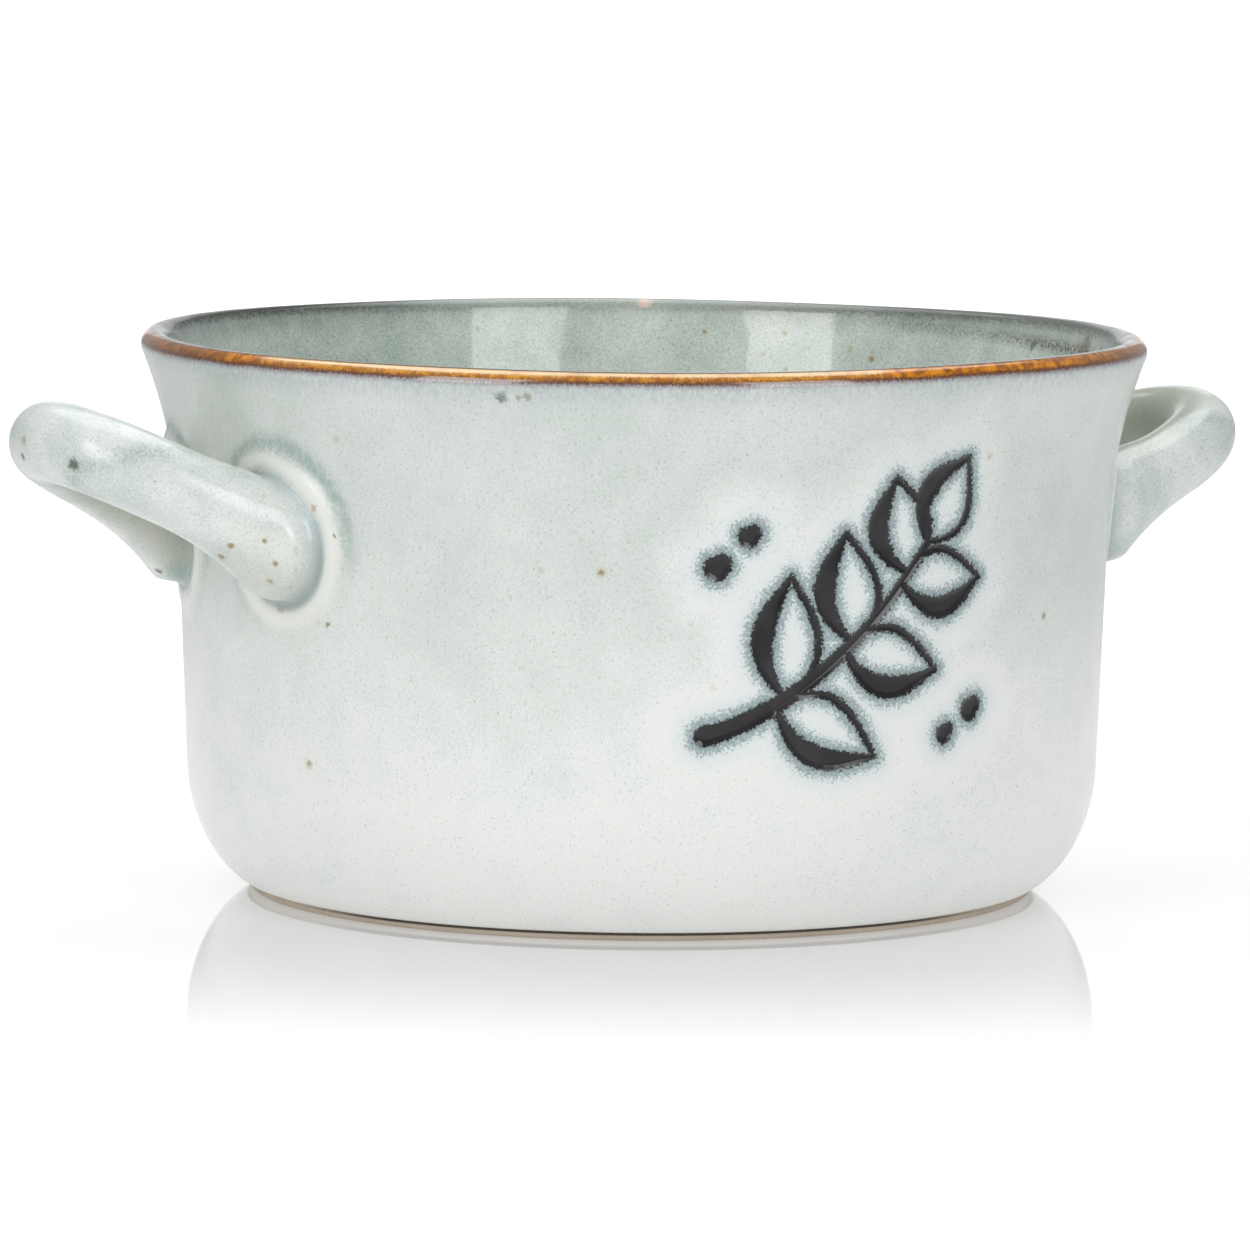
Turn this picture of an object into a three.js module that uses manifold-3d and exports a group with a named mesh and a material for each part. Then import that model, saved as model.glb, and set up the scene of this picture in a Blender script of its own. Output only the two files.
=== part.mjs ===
// Two-handled stoneware soup bowl, in millimetres, +Z up.
// The origin is the centre of the foot's resting plane. The handles lie along X and the front is -Y.
// The skin is the finished surface of the pot, and an inset is a depth below that skin.

import * as THREE from "three";
import { mergeVertices } from "three/addons/utils/BufferGeometryUtils.js";
import Module from "manifold-3d";

const wasm = await Module();
wasm.setup();

// Bowl, measured over the glaze. The radii step inwards from the lip to the foot.
const rimRadius = 68.1;
const bowlHeight = 75.4;
const wallThickness = 3.8;
const flareReach = 4.9;
const flareDrop = 25.4;
const wallTaper = 1.2;
const baseOverhang = 8.7;
const cornerHeight = 18.5;
const cornerTuck = 3.7;
const floorHeight = 7.5;
const innerCorner = 14;

// Foot ring and the recess that it surrounds
const footWidth = 6;
const footRecess = 2.2;
const footEase = 0.5;
const bareHeight = 2;

// Glaze coats
const glazeThickness = 0.6;
const glazeBond = 0.2;
const coatJoint = 0.3;

// Handles: a loop of round clay, thicker where it meets the wall
const handleRadius = 5.2;
const rootRadius = 8.2;
const rootSpread = 16;
const rootDrop = 24;
const rootFlare = 14;
const handleReach = 24.3;
const loopPower = 0.72;
const leftTilt = 26.3;
const rightTilt = 21.3;

// Collars of luting clay round the handle roots
const collarBorder = 3.1;
const collarHeight = 2;
const collarEdge = 2.6;
const slipThickness = 0.8;
const seatGap = 0.3;

// Facets: round the bowl, round a collar, round a handle and along it, and along the arcs
const bowlFacets = 40;
const collarFacets = 16;
const handleFacets = 10;
const handleSteps = 18;
const arcSteps = 5;
const lipSteps = 4;
const shoulderSteps = 3;

// How far a cutting blank runs past the piece that it cuts
const cutPast = 1;

// Values that follow from the sizes above
const lipRadius = wallThickness / 2;
const flareRadius = rimRadius - flareReach;
const flareHeight = bowlHeight - flareDrop;
const wallRadius = flareRadius - wallTaper;
const footRadius = wallRadius - baseOverhang;
const footInner = footRadius - footWidth;
const cornerRadius = footRadius - cornerTuck;
const clayInset = glazeThickness + glazeBond;
const rootHeight = bowlHeight - rootDrop;
const collarRadius = rootRadius + collarBorder;

// The flare is one arc. It leaves the wall without a corner and runs into the round of the lip.
const lip = new THREE.Vector2(rimRadius - lipRadius, bowlHeight - lipRadius);
const wallStart = new THREE.Vector2(wallRadius, cornerHeight);
const wallEnd = new THREE.Vector2(flareRadius, flareHeight);
const wallRun = wallEnd.clone().sub(wallStart).normalize();
const wallNormal = new THREE.Vector2(wallRun.y, -wallRun.x);
const toLip = lip.clone().sub(wallEnd).addScaledVector(wallNormal, lipRadius);
const flareArc = toLip.lengthSq() / (2 * toLip.dot(wallNormal)) - lipRadius;
const flareCentre = wallEnd.clone().addScaledVector(wallNormal, flareArc);
const flareStart = wallEnd.clone().sub(flareCentre).angle();
const flareEnd = lip.clone().sub(flareCentre).angle();
const lipStart = flareEnd - Math.PI;

const arc = (x, y, width, height, from, to, steps) => {
  const clockwise = to < from;
  return new THREE.EllipseCurve(x, y, width, height, from, to, clockwise).getPoints(steps);
};

// Wall radius of a straight wall line that lies a given depth inside the outer skin
const wallRadiusAt = (height, depth) => {
  const along = (height - wallEnd.y + wallNormal.y * depth) / wallRun.y;
  return wallEnd.x - wallNormal.x * depth + wallRun.x * along;
};

// Outside of the pot from a height on the base corner up to the lip, stopping short of it by a trim
const outerSide = (inset, bottom, trim) => {
  const width = wallRadius - cornerRadius - inset;
  const height = cornerHeight - inset;
  const start = -Math.asin((cornerHeight - bottom) / height);
  const radius = flareArc + inset;
  const stop = flareEnd + trim / radius;
  return [
    ...arc(cornerRadius, cornerHeight, width, height, start, 0, arcSteps),
    ...arc(flareCentre.x, flareCentre.y, radius, radius, flareStart, stop, arcSteps),
  ];
};

const lipRound = (inset) => {
  const radius = lipRadius - inset;
  return arc(lip.x, lip.y, radius, radius, lipStart, lipStart + Math.PI, lipSteps);
};

// Inside of the pot from the lip, starting short of it by a trim, down to the middle of the floor
const innerSide = (inset, trim) => {
  const flare = flareArc + wallThickness - inset;
  const corner = innerCorner + inset;
  const cornerTop = floorHeight + innerCorner;
  const cornerMiddle = wallRadiusAt(cornerTop, wallThickness) - innerCorner;
  const start = flareEnd + trim / flare;
  return [
    ...arc(flareCentre.x, flareCentre.y, flare, flare, start, flareStart, arcSteps),
    ...arc(cornerMiddle, cornerTop, corner, corner, 0, -Math.PI / 2, arcSteps),
    new THREE.Vector2(0, floorHeight - inset),
  ];
};

// Height at which the base corner, at a given inset, is as wide as the foot
const footJoin = (inset) => {
  const share = cornerTuck / (wallRadius - cornerRadius - inset);
  return cornerHeight - (cornerHeight - inset) * Math.sqrt(1 - share ** 2);
};

const point = (radius, height) => new THREE.Vector2(radius, height);

// A turned shape about +Z from a profile of radius and height
const turned = (profile, facets) => new THREE.LatheGeometry(profile, facets).rotateX(Math.PI / 2);

// A closed solid from a geometry, with its shared points merged and its empty triangles dropped
const solid = (geometry) => {
  const bare = geometry.clone();
  bare.deleteAttribute("normal");
  bare.deleteAttribute("uv");
  const merged = mergeVertices(bare, 1e-4);
  const index = merged.getIndex().array;
  const kept = [];
  for (let i = 0; i < index.length; i += 3) {
    const [a, b, c] = index.slice(i, i + 3);
    if (a !== b && b !== c && c !== a) kept.push(a, b, c);
  }
  const vertProperties = new Float32Array(merged.getAttribute("position").array);
  const mesh = new wasm.Mesh({ numProp: 3, vertProperties, triVerts: new Uint32Array(kept) });
  return new wasm.Manifold(mesh);
};

const joined = (solids) => solids.reduce((sum, next) => sum.add(next));

const geometryOf = (manifold) => {
  const mesh = manifold.getMesh();
  const geometry = new THREE.BufferGeometry();
  geometry.setAttribute("position", new THREE.BufferAttribute(mesh.vertProperties, 3));
  geometry.setIndex(new THREE.BufferAttribute(mesh.triVerts, 1));
  geometry.computeVertexNormals();
  return geometry;
};

// Everything inside the outer skin of the wall, from the glaze line to the lip, filled to the axis
const wallBlank = (inset, trim, past) => {
  const side = outerSide(inset, bareHeight, trim);
  const first = side[0];
  const last = side[side.length - 1];
  const bottom = bareHeight - past;
  return solid(turned([
    point(0, bottom),
    point(first.x, bottom),
    ...(past > 0 ? side : side.slice(1)),
    point(0, last.y),
  ], bowlFacets));
};

// Where the middle of a handle root lies on the wall, from the axis of the bowl
const rootMiddle = () => {
  const rise = rootHeight - flareHeight;
  const flared = flareArc - Math.sqrt(flareArc ** 2 - rise ** 2);
  const radius = rise > 0 ? flareRadius + flared : wallRadiusAt(rootHeight, 0);
  return Math.sqrt(radius ** 2 - rootSpread ** 2);
};

// Frame of a handle: X runs out of the wall and up by the tilt, Y runs along the wall
const handleFrame = (sign, tilt) => {
  const angle = THREE.MathUtils.degToRad(tilt);
  const outward = new THREE.Vector3(sign * Math.cos(angle), 0, Math.sin(angle));
  const sideways = new THREE.Vector3(0, sign, 0);
  const upright = outward.clone().cross(sideways);
  const frame = new THREE.Matrix4().makeBasis(outward, sideways, upright);
  return frame.setPosition(sign * rootMiddle(), 0, rootHeight);
};

// Loop of a handle in its own frame: stations with a middle, a direction and a radius
const loopStations = (tilt) => {
  const length = handleReach / Math.cos(THREE.MathUtils.degToRad(tilt));
  const stations = [];
  for (let i = 0; i <= handleSteps; i += 1) {
    const turn = (Math.PI * i) / handleSteps;
    const bow = Math.max(Math.sin(turn), 0);
    const out = length * bow ** loopPower;
    const run = point(length * loopPower * Math.cos(turn), -rootSpread * bow ** (2 - loopPower));
    const swell = Math.max(1 - out / rootFlare, 0) ** 2;
    stations.push({
      middle: point(out, rootSpread * Math.cos(turn)),
      run: run.normalize(),
      radius: handleRadius + (rootRadius - handleRadius) * swell,
    });
  }
  const sunk = ({ middle, run, radius }) => {
    return { middle: point(-rootRadius, middle.y), run, radius };
  };
  return [sunk(stations[0]), ...stations, sunk(stations[handleSteps])];
};

// A closed tube through the stations of a loop
const loopTube = (sign, tilt, inset) => {
  const stations = loopStations(tilt);
  const positions = [];
  const index = [];
  for (const { middle, run, radius } of stations) {
    for (let j = 0; j < handleFacets; j += 1) {
      const angle = (2 * Math.PI * j) / handleFacets;
      const across = (radius - inset) * Math.cos(angle);
      const above = (radius - inset) * Math.sin(angle);
      positions.push(middle.x - across * run.y, middle.y + across * run.x, above);
    }
  }
  for (let i = 0; i < stations.length - 1; i += 1) {
    for (let j = 0; j < handleFacets; j += 1) {
      const a = i * handleFacets + j;
      const b = i * handleFacets + ((j + 1) % handleFacets);
      index.push(a, b, b + handleFacets, a, b + handleFacets, a + handleFacets);
    }
  }
  const last = (stations.length - 1) * handleFacets;
  for (let j = 1; j < handleFacets - 1; j += 1) {
    index.push(0, j + 1, j, last, last + j, last + j + 1);
  }
  const geometry = new THREE.BufferGeometry();
  geometry.setAttribute("position", new THREE.Float32BufferAttribute(positions, 3));
  geometry.setIndex(index);
  return solid(geometry.applyMatrix4(handleFrame(sign, tilt)));
};

// A round boss on the wall about a handle root, with a rounded shoulder, sunk into the wall behind it
const collarBlank = (sign, end, inset) => {
  const width = collarEdge - inset;
  const height = collarHeight - inset;
  const profile = [
    point(0, -collarHeight),
    point(collarRadius - inset, -collarHeight),
    ...arc(collarRadius - collarEdge, 0, width, height, 0, Math.PI / 2, shoulderSteps),
    point(0, height),
  ];
  const middle = new THREE.Vector3(sign * rootMiddle(), sign * end * rootSpread, rootHeight);
  const axis = new THREE.Vector3(middle.x, middle.y, 0).normalize();
  const upright = new THREE.Vector3(0, 0, 1);
  const frame = new THREE.Matrix4().makeBasis(upright.clone().cross(axis), upright, axis);
  return solid(turned(profile, collarFacets).applyMatrix4(frame.setPosition(middle)));
};

// Clay behind the wall's outer face, grown by a clearance, that handles and collars are cut back from
const wallCutter = (clearance) => wallBlank(clayInset - clearance, 0, cutPast);

const clay = () => new THREE.MeshStandardMaterial({ color: 0xb7aa9b, roughness: 0.85, metalness: 0 });
const paleGlaze = () => new THREE.MeshStandardMaterial({ color: 0xd6deda, roughness: 0.18, metalness: 0 });
const linerGlaze = () => new THREE.MeshStandardMaterial({ color: 0xb2beb7, roughness: 0.15, metalness: 0 });
const ironGlaze = () => new THREE.MeshStandardMaterial({ color: 0x8a5312, roughness: 0.2, metalness: 0 });

const bowl = new THREE.Group();

const addPiece = (name, geometry, material) => {
  const mesh = new THREE.Mesh(geometry, material);
  mesh.name = name;
  bowl.add(mesh);
};

// Thrown and turned clay: recess, foot ring, wall, lip and floor
const bodyProfile = [
  point(0, footRecess + clayInset),
  point(footInner, footRecess + clayInset),
  point(footInner, footEase),
  point(footInner + footEase, 0),
  point(footRadius - footEase, 0),
  point(footRadius, footEase),
  ...outerSide(clayInset, footJoin(clayInset), 0),
  ...lipRound(clayInset).slice(1, -1),
  ...innerSide(clayInset, 0),
];
addPiece("clay_body", turned(bodyProfile, bowlFacets), clay());

const handles = [
  { side: "left", sign: -1, tilt: leftTilt },
  { side: "right", sign: 1, tilt: rightTilt },
];
const ends = [-1, 1];

// Handles end a slip layer away from the wall, and each collar is the cup that holds a root
for (const { side, sign, tilt } of handles) {
  const slipFace = seatGap + slipThickness;
  const handle = loopTube(sign, tilt, clayInset).subtract(wallCutter(slipFace + seatGap));
  addPiece(`${side}_handle`, geometryOf(handle), clay());
  const socket = loopTube(sign, tilt, clayInset - seatGap).subtract(wallCutter(slipFace));
  for (const end of ends) {
    const collar = collarBlank(sign, end, clayInset).subtract(wallCutter(seatGap)).subtract(socket);
    const place = sign * end < 0 ? "front" : "rear";
    addPiece(`${side}_${place}_collar`, geometryOf(collar), clay());
  }
}

// The outer coat is one skin over the wall, the collars and the handles
const dressed = (inset, trim, past) => joined([
  wallBlank(inset, trim, past),
  ...handles.map(({ sign, tilt }) => loopTube(sign, tilt, inset)),
  ...handles.flatMap(({ sign }) => ends.map((end) => collarBlank(sign, end, inset))),
]);
const outerCoat = dressed(0, coatJoint, 0).subtract(dressed(glazeThickness, 0, cutPast));
addPiece("outer_glaze", geometryOf(outerCoat), paleGlaze());

const linerProfile = [
  ...innerSide(glazeThickness, coatJoint).reverse(),
  ...innerSide(0, coatJoint),
];
addPiece("inner_glaze", turned(linerProfile, bowlFacets), linerGlaze());

const lipSkin = lipRound(0);
const rimProfile = [...lipSkin, ...lipRound(glazeThickness).reverse(), lipSkin[0]];
addPiece("rim_glaze", turned(rimProfile, bowlFacets), ironGlaze());

const baseProfile = [
  point(0, footRecess),
  point(footInner - coatJoint, footRecess),
  point(footInner - coatJoint, footRecess + glazeThickness),
  point(0, footRecess + glazeThickness),
];
addPiece("base_glaze", turned(baseProfile, bowlFacets), paleGlaze());

export default bowl;
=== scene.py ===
"""Two-handled stoneware soup bowl: smooth glazed pieces, their finishes and a white studio."""

import logging
import math
from dataclasses import dataclass
from enum import Enum
from functools import reduce
from typing import Callable, Sequence

import bpy
import numpy as np
from mathutils import Matrix, Vector


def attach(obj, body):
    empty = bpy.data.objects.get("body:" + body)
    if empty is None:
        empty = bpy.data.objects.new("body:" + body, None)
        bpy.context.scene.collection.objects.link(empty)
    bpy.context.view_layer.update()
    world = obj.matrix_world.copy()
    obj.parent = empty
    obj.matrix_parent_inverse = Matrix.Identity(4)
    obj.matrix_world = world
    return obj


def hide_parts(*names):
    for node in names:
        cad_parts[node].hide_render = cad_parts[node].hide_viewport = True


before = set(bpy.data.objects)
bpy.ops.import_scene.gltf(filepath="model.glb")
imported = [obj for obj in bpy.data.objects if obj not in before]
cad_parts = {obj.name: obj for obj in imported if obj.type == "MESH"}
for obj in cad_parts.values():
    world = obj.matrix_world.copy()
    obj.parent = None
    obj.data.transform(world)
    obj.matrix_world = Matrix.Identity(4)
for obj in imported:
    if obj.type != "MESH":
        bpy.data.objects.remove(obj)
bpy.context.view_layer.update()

log = logging.getLogger("soup_bowl")

MM = 0.001
BODY = "root"
MERGE_MM = 0.002
# Distance in millimetres past which the sprig leaves the glaze alone.
SPRIG_REACH = 9.0
# Facets of spun pieces: fine for the wide coats, plain for what they hide or the foot hides.
FINE_FACETS = 480
PLAIN_FACETS = 240
# Angles at which an arc faces the axis, the table and away from the axis.
INWARD, DOWNWARD, OUTWARD = math.pi, 1.5 * math.pi, math.tau

Point = tuple[float, float]
Triple = tuple[float, float, float]
Colour = tuple[float, float, float, float]
Socket = bpy.types.NodeSocket


class Side(Enum):
    """Which side of the bowl a handle is on, as the sign of X."""

    LEFT = -1
    RIGHT = 1


class Slot(Enum):
    """Material slots of the record."""

    CLAY = "bare_clay"
    PALE = "pale_glaze"
    LINER = "liner_glaze"
    IRON = "iron_glaze"


def srgb(red: int, green: int, blue: int) -> Colour:
    """Turns a display colour into the linear colour that shaders take.

    Args:
        red: Red from 0 to 255.
        green: Green from 0 to 255.
        blue: Blue from 0 to 255.

    Returns:
        The linear colour with full alpha.
    """
    def linear(value: int) -> float:
        """Undoes the display curve for one channel."""
        share = value / 255
        return share / 12.92 if share <= 0.04045 else ((share + 0.055) / 1.055) ** 2.4

    return (linear(red), linear(green), linear(blue), 1.0)


def smooth_step(low: float, high: float, value: float | np.ndarray) -> float | np.ndarray:
    """Rises smoothly from 0 at low to 1 at high.

    Args:
        low: Where the rise starts.
        high: Where the rise ends.
        value: The values to map.

    Returns:
        The mapped values, from 0 to 1.
    """
    share = np.clip((value - low) / (high - low), 0, 1)
    return share * share * (3 - 2 * share)


def bell(offset: float | np.ndarray, width: float | np.ndarray) -> float | np.ndarray:
    """Bell curve that is 1 at no offset and falls off over a width."""
    return np.exp(-((offset / width) ** 2))


@dataclass(frozen=True)
class PotShape:
    """Skin of the pot in millimetres, with the sizes of the solids that it dresses."""

    rim_radius: float = 68.1
    bowl_height: float = 75.4
    wall_thickness: float = 3.8
    flare_reach: float = 4.9
    flare_drop: float = 25.4
    wall_taper: float = 1.2
    base_overhang: float = 8.7
    corner_height: float = 18.5
    corner_tuck: float = 3.7
    floor_height: float = 7.5
    inner_corner: float = 14.0
    foot_width: float = 6.0
    foot_recess: float = 2.2
    foot_ease: float = 0.6
    bare_height: float = 1.3
    glaze: float = 0.6
    bond: float = 0.2
    warp_start: float = 50.0
    warp_radial: float = 0.16
    warp_lift: float = 0.26
    warp_tip: float = 0.1
    warp_upright: float = 0.19
    warp_ripple: float = 0.08
    warp_third: float = 0.6
    oval_phase: float = 0.6
    third_phase: float = -1.0
    tip_phase: float = -2.68
    upright_phase: float = 1.56

    @property
    def lip_radius(self) -> float:
        """Radius of the full round of the lip."""
        return self.wall_thickness / 2

    @property
    def lip(self) -> np.ndarray:
        """Middle of the round of the lip, as radius and height."""
        return np.array([self.rim_radius - self.lip_radius, self.bowl_height - self.lip_radius])

    @property
    def wall_end(self) -> np.ndarray:
        """Where the straight wall ends and the flare starts."""
        return np.array([self.rim_radius - self.flare_reach, self.bowl_height - self.flare_drop])

    @property
    def wall_radius(self) -> float:
        """Radius of the wall at the top of the base corner."""
        return self.rim_radius - self.flare_reach - self.wall_taper

    @property
    def foot_radius(self) -> float:
        """Outer radius of the foot ring."""
        return self.wall_radius - self.base_overhang

    @property
    def foot_inner(self) -> float:
        """Inner radius of the foot ring."""
        return self.foot_radius - self.foot_width

    @property
    def clay_inset(self) -> float:
        """Depth of the clay below the skin."""
        return self.glaze + self.bond

    @property
    def wall_run(self) -> np.ndarray:
        """Direction of the straight wall, upwards."""
        run = self.wall_end - np.array([self.wall_radius, self.corner_height])
        return run / np.linalg.norm(run)

    @property
    def wall_normal(self) -> np.ndarray:
        """Direction away from the axis, square to the straight wall."""
        run = self.wall_run
        return np.array([run[1], -run[0]])

    @property
    def flare_arc(self) -> float:
        """Radius of the flare, which runs from the wall into the round of the lip."""
        to_lip = self.lip - self.wall_end + self.wall_normal * self.lip_radius
        return float(to_lip @ to_lip / (2 * to_lip @ self.wall_normal)) - self.lip_radius

    @property
    def flare_centre(self) -> np.ndarray:
        """Middle of the flare's arc, outside the wall."""
        return self.wall_end + self.wall_normal * self.flare_arc

    @property
    def flare_angles(self) -> Point:
        """Angles at which the flare starts, at the wall, and ends, at the lip."""
        low = self.wall_end - self.flare_centre
        high = self.lip - self.flare_centre
        return math.atan2(low[1], low[0]) % math.tau, math.atan2(high[1], high[0]) % math.tau

    @staticmethod
    def arc(centre: Sequence[float], wide: float, tall: float, start: float, end: float,
            steps: int) -> list[Point]:
        """Points along part of an ellipse.

        Args:
            centre: Middle of the ellipse.
            wide: Half width.
            tall: Half height.
            start: First angle in radians.
            end: Last angle in radians.
            steps: Number of steps between the two.

        Returns:
            Points as radius and height.
        """
        angles = np.linspace(start, end, steps + 1)
        return [(centre[0] + wide * math.cos(a), centre[1] + tall * math.sin(a)) for a in angles]

    def wall_radius_at(self, height: float, depth: float) -> float:
        """Radius of the straight wall line at a height and a depth below the skin."""
        start = self.wall_end - self.wall_normal * depth
        return float(start[0] + (height - start[1]) * self.wall_run[0] / self.wall_run[1])

    def outer_side(self, inset: float, bottom: float, fine: int) -> list[Point]:
        """Outside of the pot from a height on the base corner up to the lip.

        Args:
            inset: Depth below the skin.
            bottom: Height at which the outline starts.
            fine: Steps along the flare; the other stretches have steps of like length.

        Returns:
            Points from the bottom to the end of the flare.
        """
        tall = self.corner_height - inset
        wide = self.wall_radius - self.foot_radius + self.corner_tuck - inset
        middle = (self.foot_radius - self.corner_tuck, self.corner_height)
        start = -math.asin((self.corner_height - bottom) / tall)
        corner = self.arc(middle, wide, tall, start, 0.0, max(6, fine * 3 // 4))
        low, high = self.flare_angles
        radius = self.flare_arc + inset
        flare = self.arc(self.flare_centre, radius, radius, low, high, fine)
        wall = np.linspace(corner[-1], flare[0], max(2, fine * 5 // 4))[1:-1]
        return corner + [tuple(p) for p in wall] + flare

    def lip_round(self, inset: float, steps: int) -> list[Point]:
        """Half round of the lip from the outside over the crest to the inside."""
        start = self.flare_angles[1] - math.pi
        radius = self.lip_radius - inset
        return self.arc(self.lip, radius, radius, start, start + math.pi, steps)

    def inner_side(self, inset: float, fine: int) -> list[Point]:
        """Inside of the pot from the lip down to the middle of the floor.

        Args:
            inset: Depth below the skin.
            fine: Steps along the flare; the other stretches have steps of like length.

        Returns:
            Points from the lip to the axis.
        """
        low, high = self.flare_angles
        radius = self.flare_arc + self.wall_thickness - inset
        flare = self.arc(self.flare_centre, radius, radius, high, low, fine)
        top = self.floor_height + self.inner_corner
        middle = (self.wall_radius_at(top, self.wall_thickness) - self.inner_corner, top)
        bend = self.inner_corner + inset
        corner = self.arc(middle, bend, bend, 0.0, -math.pi / 2, max(6, fine * 3 // 4))
        wall = np.linspace(flare[-1], corner[0], max(2, fine))[1:-1]
        floor = np.linspace(corner[-1], (0.0, self.floor_height - inset), max(2, fine))[1:]
        return flare + [tuple(p) for p in wall] + corner + [tuple(p) for p in floor]

    def skin_radius(self, height: np.ndarray) -> np.ndarray:
        """Radius of the outer skin at heights between the base corner and the lip."""
        outline = np.array(self.outer_side(0.0, self.bare_height, 60))
        return np.interp(height, outline[:, 1], outline[:, 0])

    def settle(self, points: np.ndarray) -> np.ndarray:
        """Adds the slight waver of a hand-thrown lip to points in millimetres.

        Args:
            points: Points as an array of three columns.

        Returns:
            The moved points.
        """
        moved = points.copy()
        turn = np.arctan2(points[:, 1], points[:, 0])
        span = self.bowl_height - self.warp_start
        share = np.clip((points[:, 2] - self.warp_start) / span, 0, 1) ** 2
        waves = np.cos(2 * turn + self.oval_phase) + self.warp_third * np.cos(3 * turn + self.third_phase)
        radius = np.maximum(np.hypot(points[:, 0], points[:, 1]), MERGE_MM)
        moved[:, :2] *= (1 + self.warp_radial * waves * share / radius)[:, None]
        rise = self.warp_lift + self.warp_tip * np.cos(turn + self.tip_phase)
        rise += self.warp_upright * np.cos(2 * turn + self.upright_phase)
        rise += self.warp_ripple * np.cos(5 * turn)
        moved[:, 2] += rise * share
        return moved


def deselect_all() -> None:
    """Leaves no object selected, so that operators act on new pieces alone."""
    for obj in bpy.context.selected_objects:
        obj.select_set(False)


def points_of(obj: bpy.types.Object) -> np.ndarray:
    """Points of a mesh in millimetres, as an array of three columns."""
    flat = np.empty(len(obj.data.vertices) * 3)
    obj.data.vertices.foreach_get("co", flat)
    return flat.reshape(-1, 3) / MM


def set_points(obj: bpy.types.Object, points: np.ndarray) -> None:
    """Moves the points of a mesh to places in millimetres."""
    obj.data.vertices.foreach_set("co", (points * MM).ravel())
    obj.data.update()


def store(obj: bpy.types.Object, **values: np.ndarray) -> None:
    """Stores numbers on the points of a mesh by name, for its finish to read."""
    for name, numbers in values.items():
        layer = obj.data.attributes.new(name, "FLOAT", "POINT")
        layer.data.foreach_set("value", numbers.astype(np.float32))


def close_mesh(obj: bpy.types.Object, crease_deg: float) -> None:
    """Merges seams and poles, turns the faces outwards and smooths all but sharp edges.

    Args:
        obj: The piece, which is the active object.
        crease_deg: Edges sharper than this stay sharp.
    """
    bpy.ops.object.mode_set(mode="EDIT")
    bpy.ops.mesh.select_all(action="SELECT")
    bpy.ops.mesh.remove_doubles(threshold=MERGE_MM * MM)
    bpy.ops.mesh.normals_make_consistent(inside=False)
    bpy.ops.object.mode_set(mode="OBJECT")
    bpy.ops.object.shade_smooth_by_angle(angle=math.radians(crease_deg))


def hand_over(obj: bpy.types.Object, nodes: tuple[str, ...]) -> None:
    """Tells the frame which solids a piece stands for.

    Args:
        obj: The finished piece.
        nodes: Nodes of the solids that it dresses.
    """
    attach(obj, BODY)
    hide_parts(*nodes)


@dataclass(frozen=True)
class Firing:
    """How the glazes fired round the bowl, and where painted shade falls inside it and above the foot:
    directions in degrees from +X, spans in radians from them.
    """

    pale_deg: float = 66.0
    tone_deg: float = 60.0
    thin_deg: float = -127.0
    foot_shadow_deg: float = -116.0
    tone_left: float = 0.33
    tone_right: float = 0.7
    patch_swing: float = -1.0
    patch_width: float = 0.3
    patch_share: float = 0.6
    stain_least: float = 0.25
    stain_left: Triple = (0.65, 0.25, 0.85)
    stain_right: Triple = (0.42, 0.1, -0.8)
    iron_beside: Point = (0.56, 0.76)
    iron_right: Point = (-0.68, -0.95)
    iron_left: Point = (0.9, 1.6)
    foot_shadow_span: Point = (0.5, 0.78)

    @staticmethod
    def swing(points: np.ndarray, middle_deg: float) -> np.ndarray:
        """Angle of points about the bowl's axis from a direction, in radians."""
        turn = np.arctan2(points[:, 1], points[:, 0]) - math.radians(middle_deg)
        return (turn + math.pi) % math.tau - math.pi

    def tone(self, points: np.ndarray) -> np.ndarray:
        """How deeply the inside glaze lies, with painted shade that darkens it away from the back and most
        on the left: palest opposite the front left, with a paler patch on the right.
        """
        swing = self.swing(points, self.tone_deg)
        width = np.where(swing > 0, self.tone_left, self.tone_right)
        patch = bell(swing - self.patch_swing, self.patch_width)
        return (1 - bell(swing, width)) * (1 - self.patch_share * patch)

    def stain(self, points: np.ndarray) -> np.ndarray:
        """How dark iron stained the inside edge of the lip, more on both sides of the pale part."""
        swing = self.swing(points, self.pale_deg)
        total = np.full(len(points), self.stain_least)
        for most, low, high in (self.stain_left, self.stain_right):
            total += most * smooth_step(low, high, swing)
        return total

    def iron(self, points: np.ndarray) -> np.ndarray:
        """How thick the iron lies on the lip: thin at the front left, 1 beside it and 2 at the back."""
        swing = self.swing(points, self.thin_deg)
        beside = smooth_step(*self.iron_beside, np.abs(swing))
        return beside + smooth_step(*self.iron_right, swing) + smooth_step(*self.iron_left, swing)

    def seam(self, points: np.ndarray) -> np.ndarray:
        """How dark the painted shadow under the glaze edge above the bare foot is: most at the front and
        the back, least at the sides.
        """
        along = np.abs(np.cos(self.swing(points, self.foot_shadow_deg)))
        return smooth_step(*self.foot_shadow_span, along)


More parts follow.
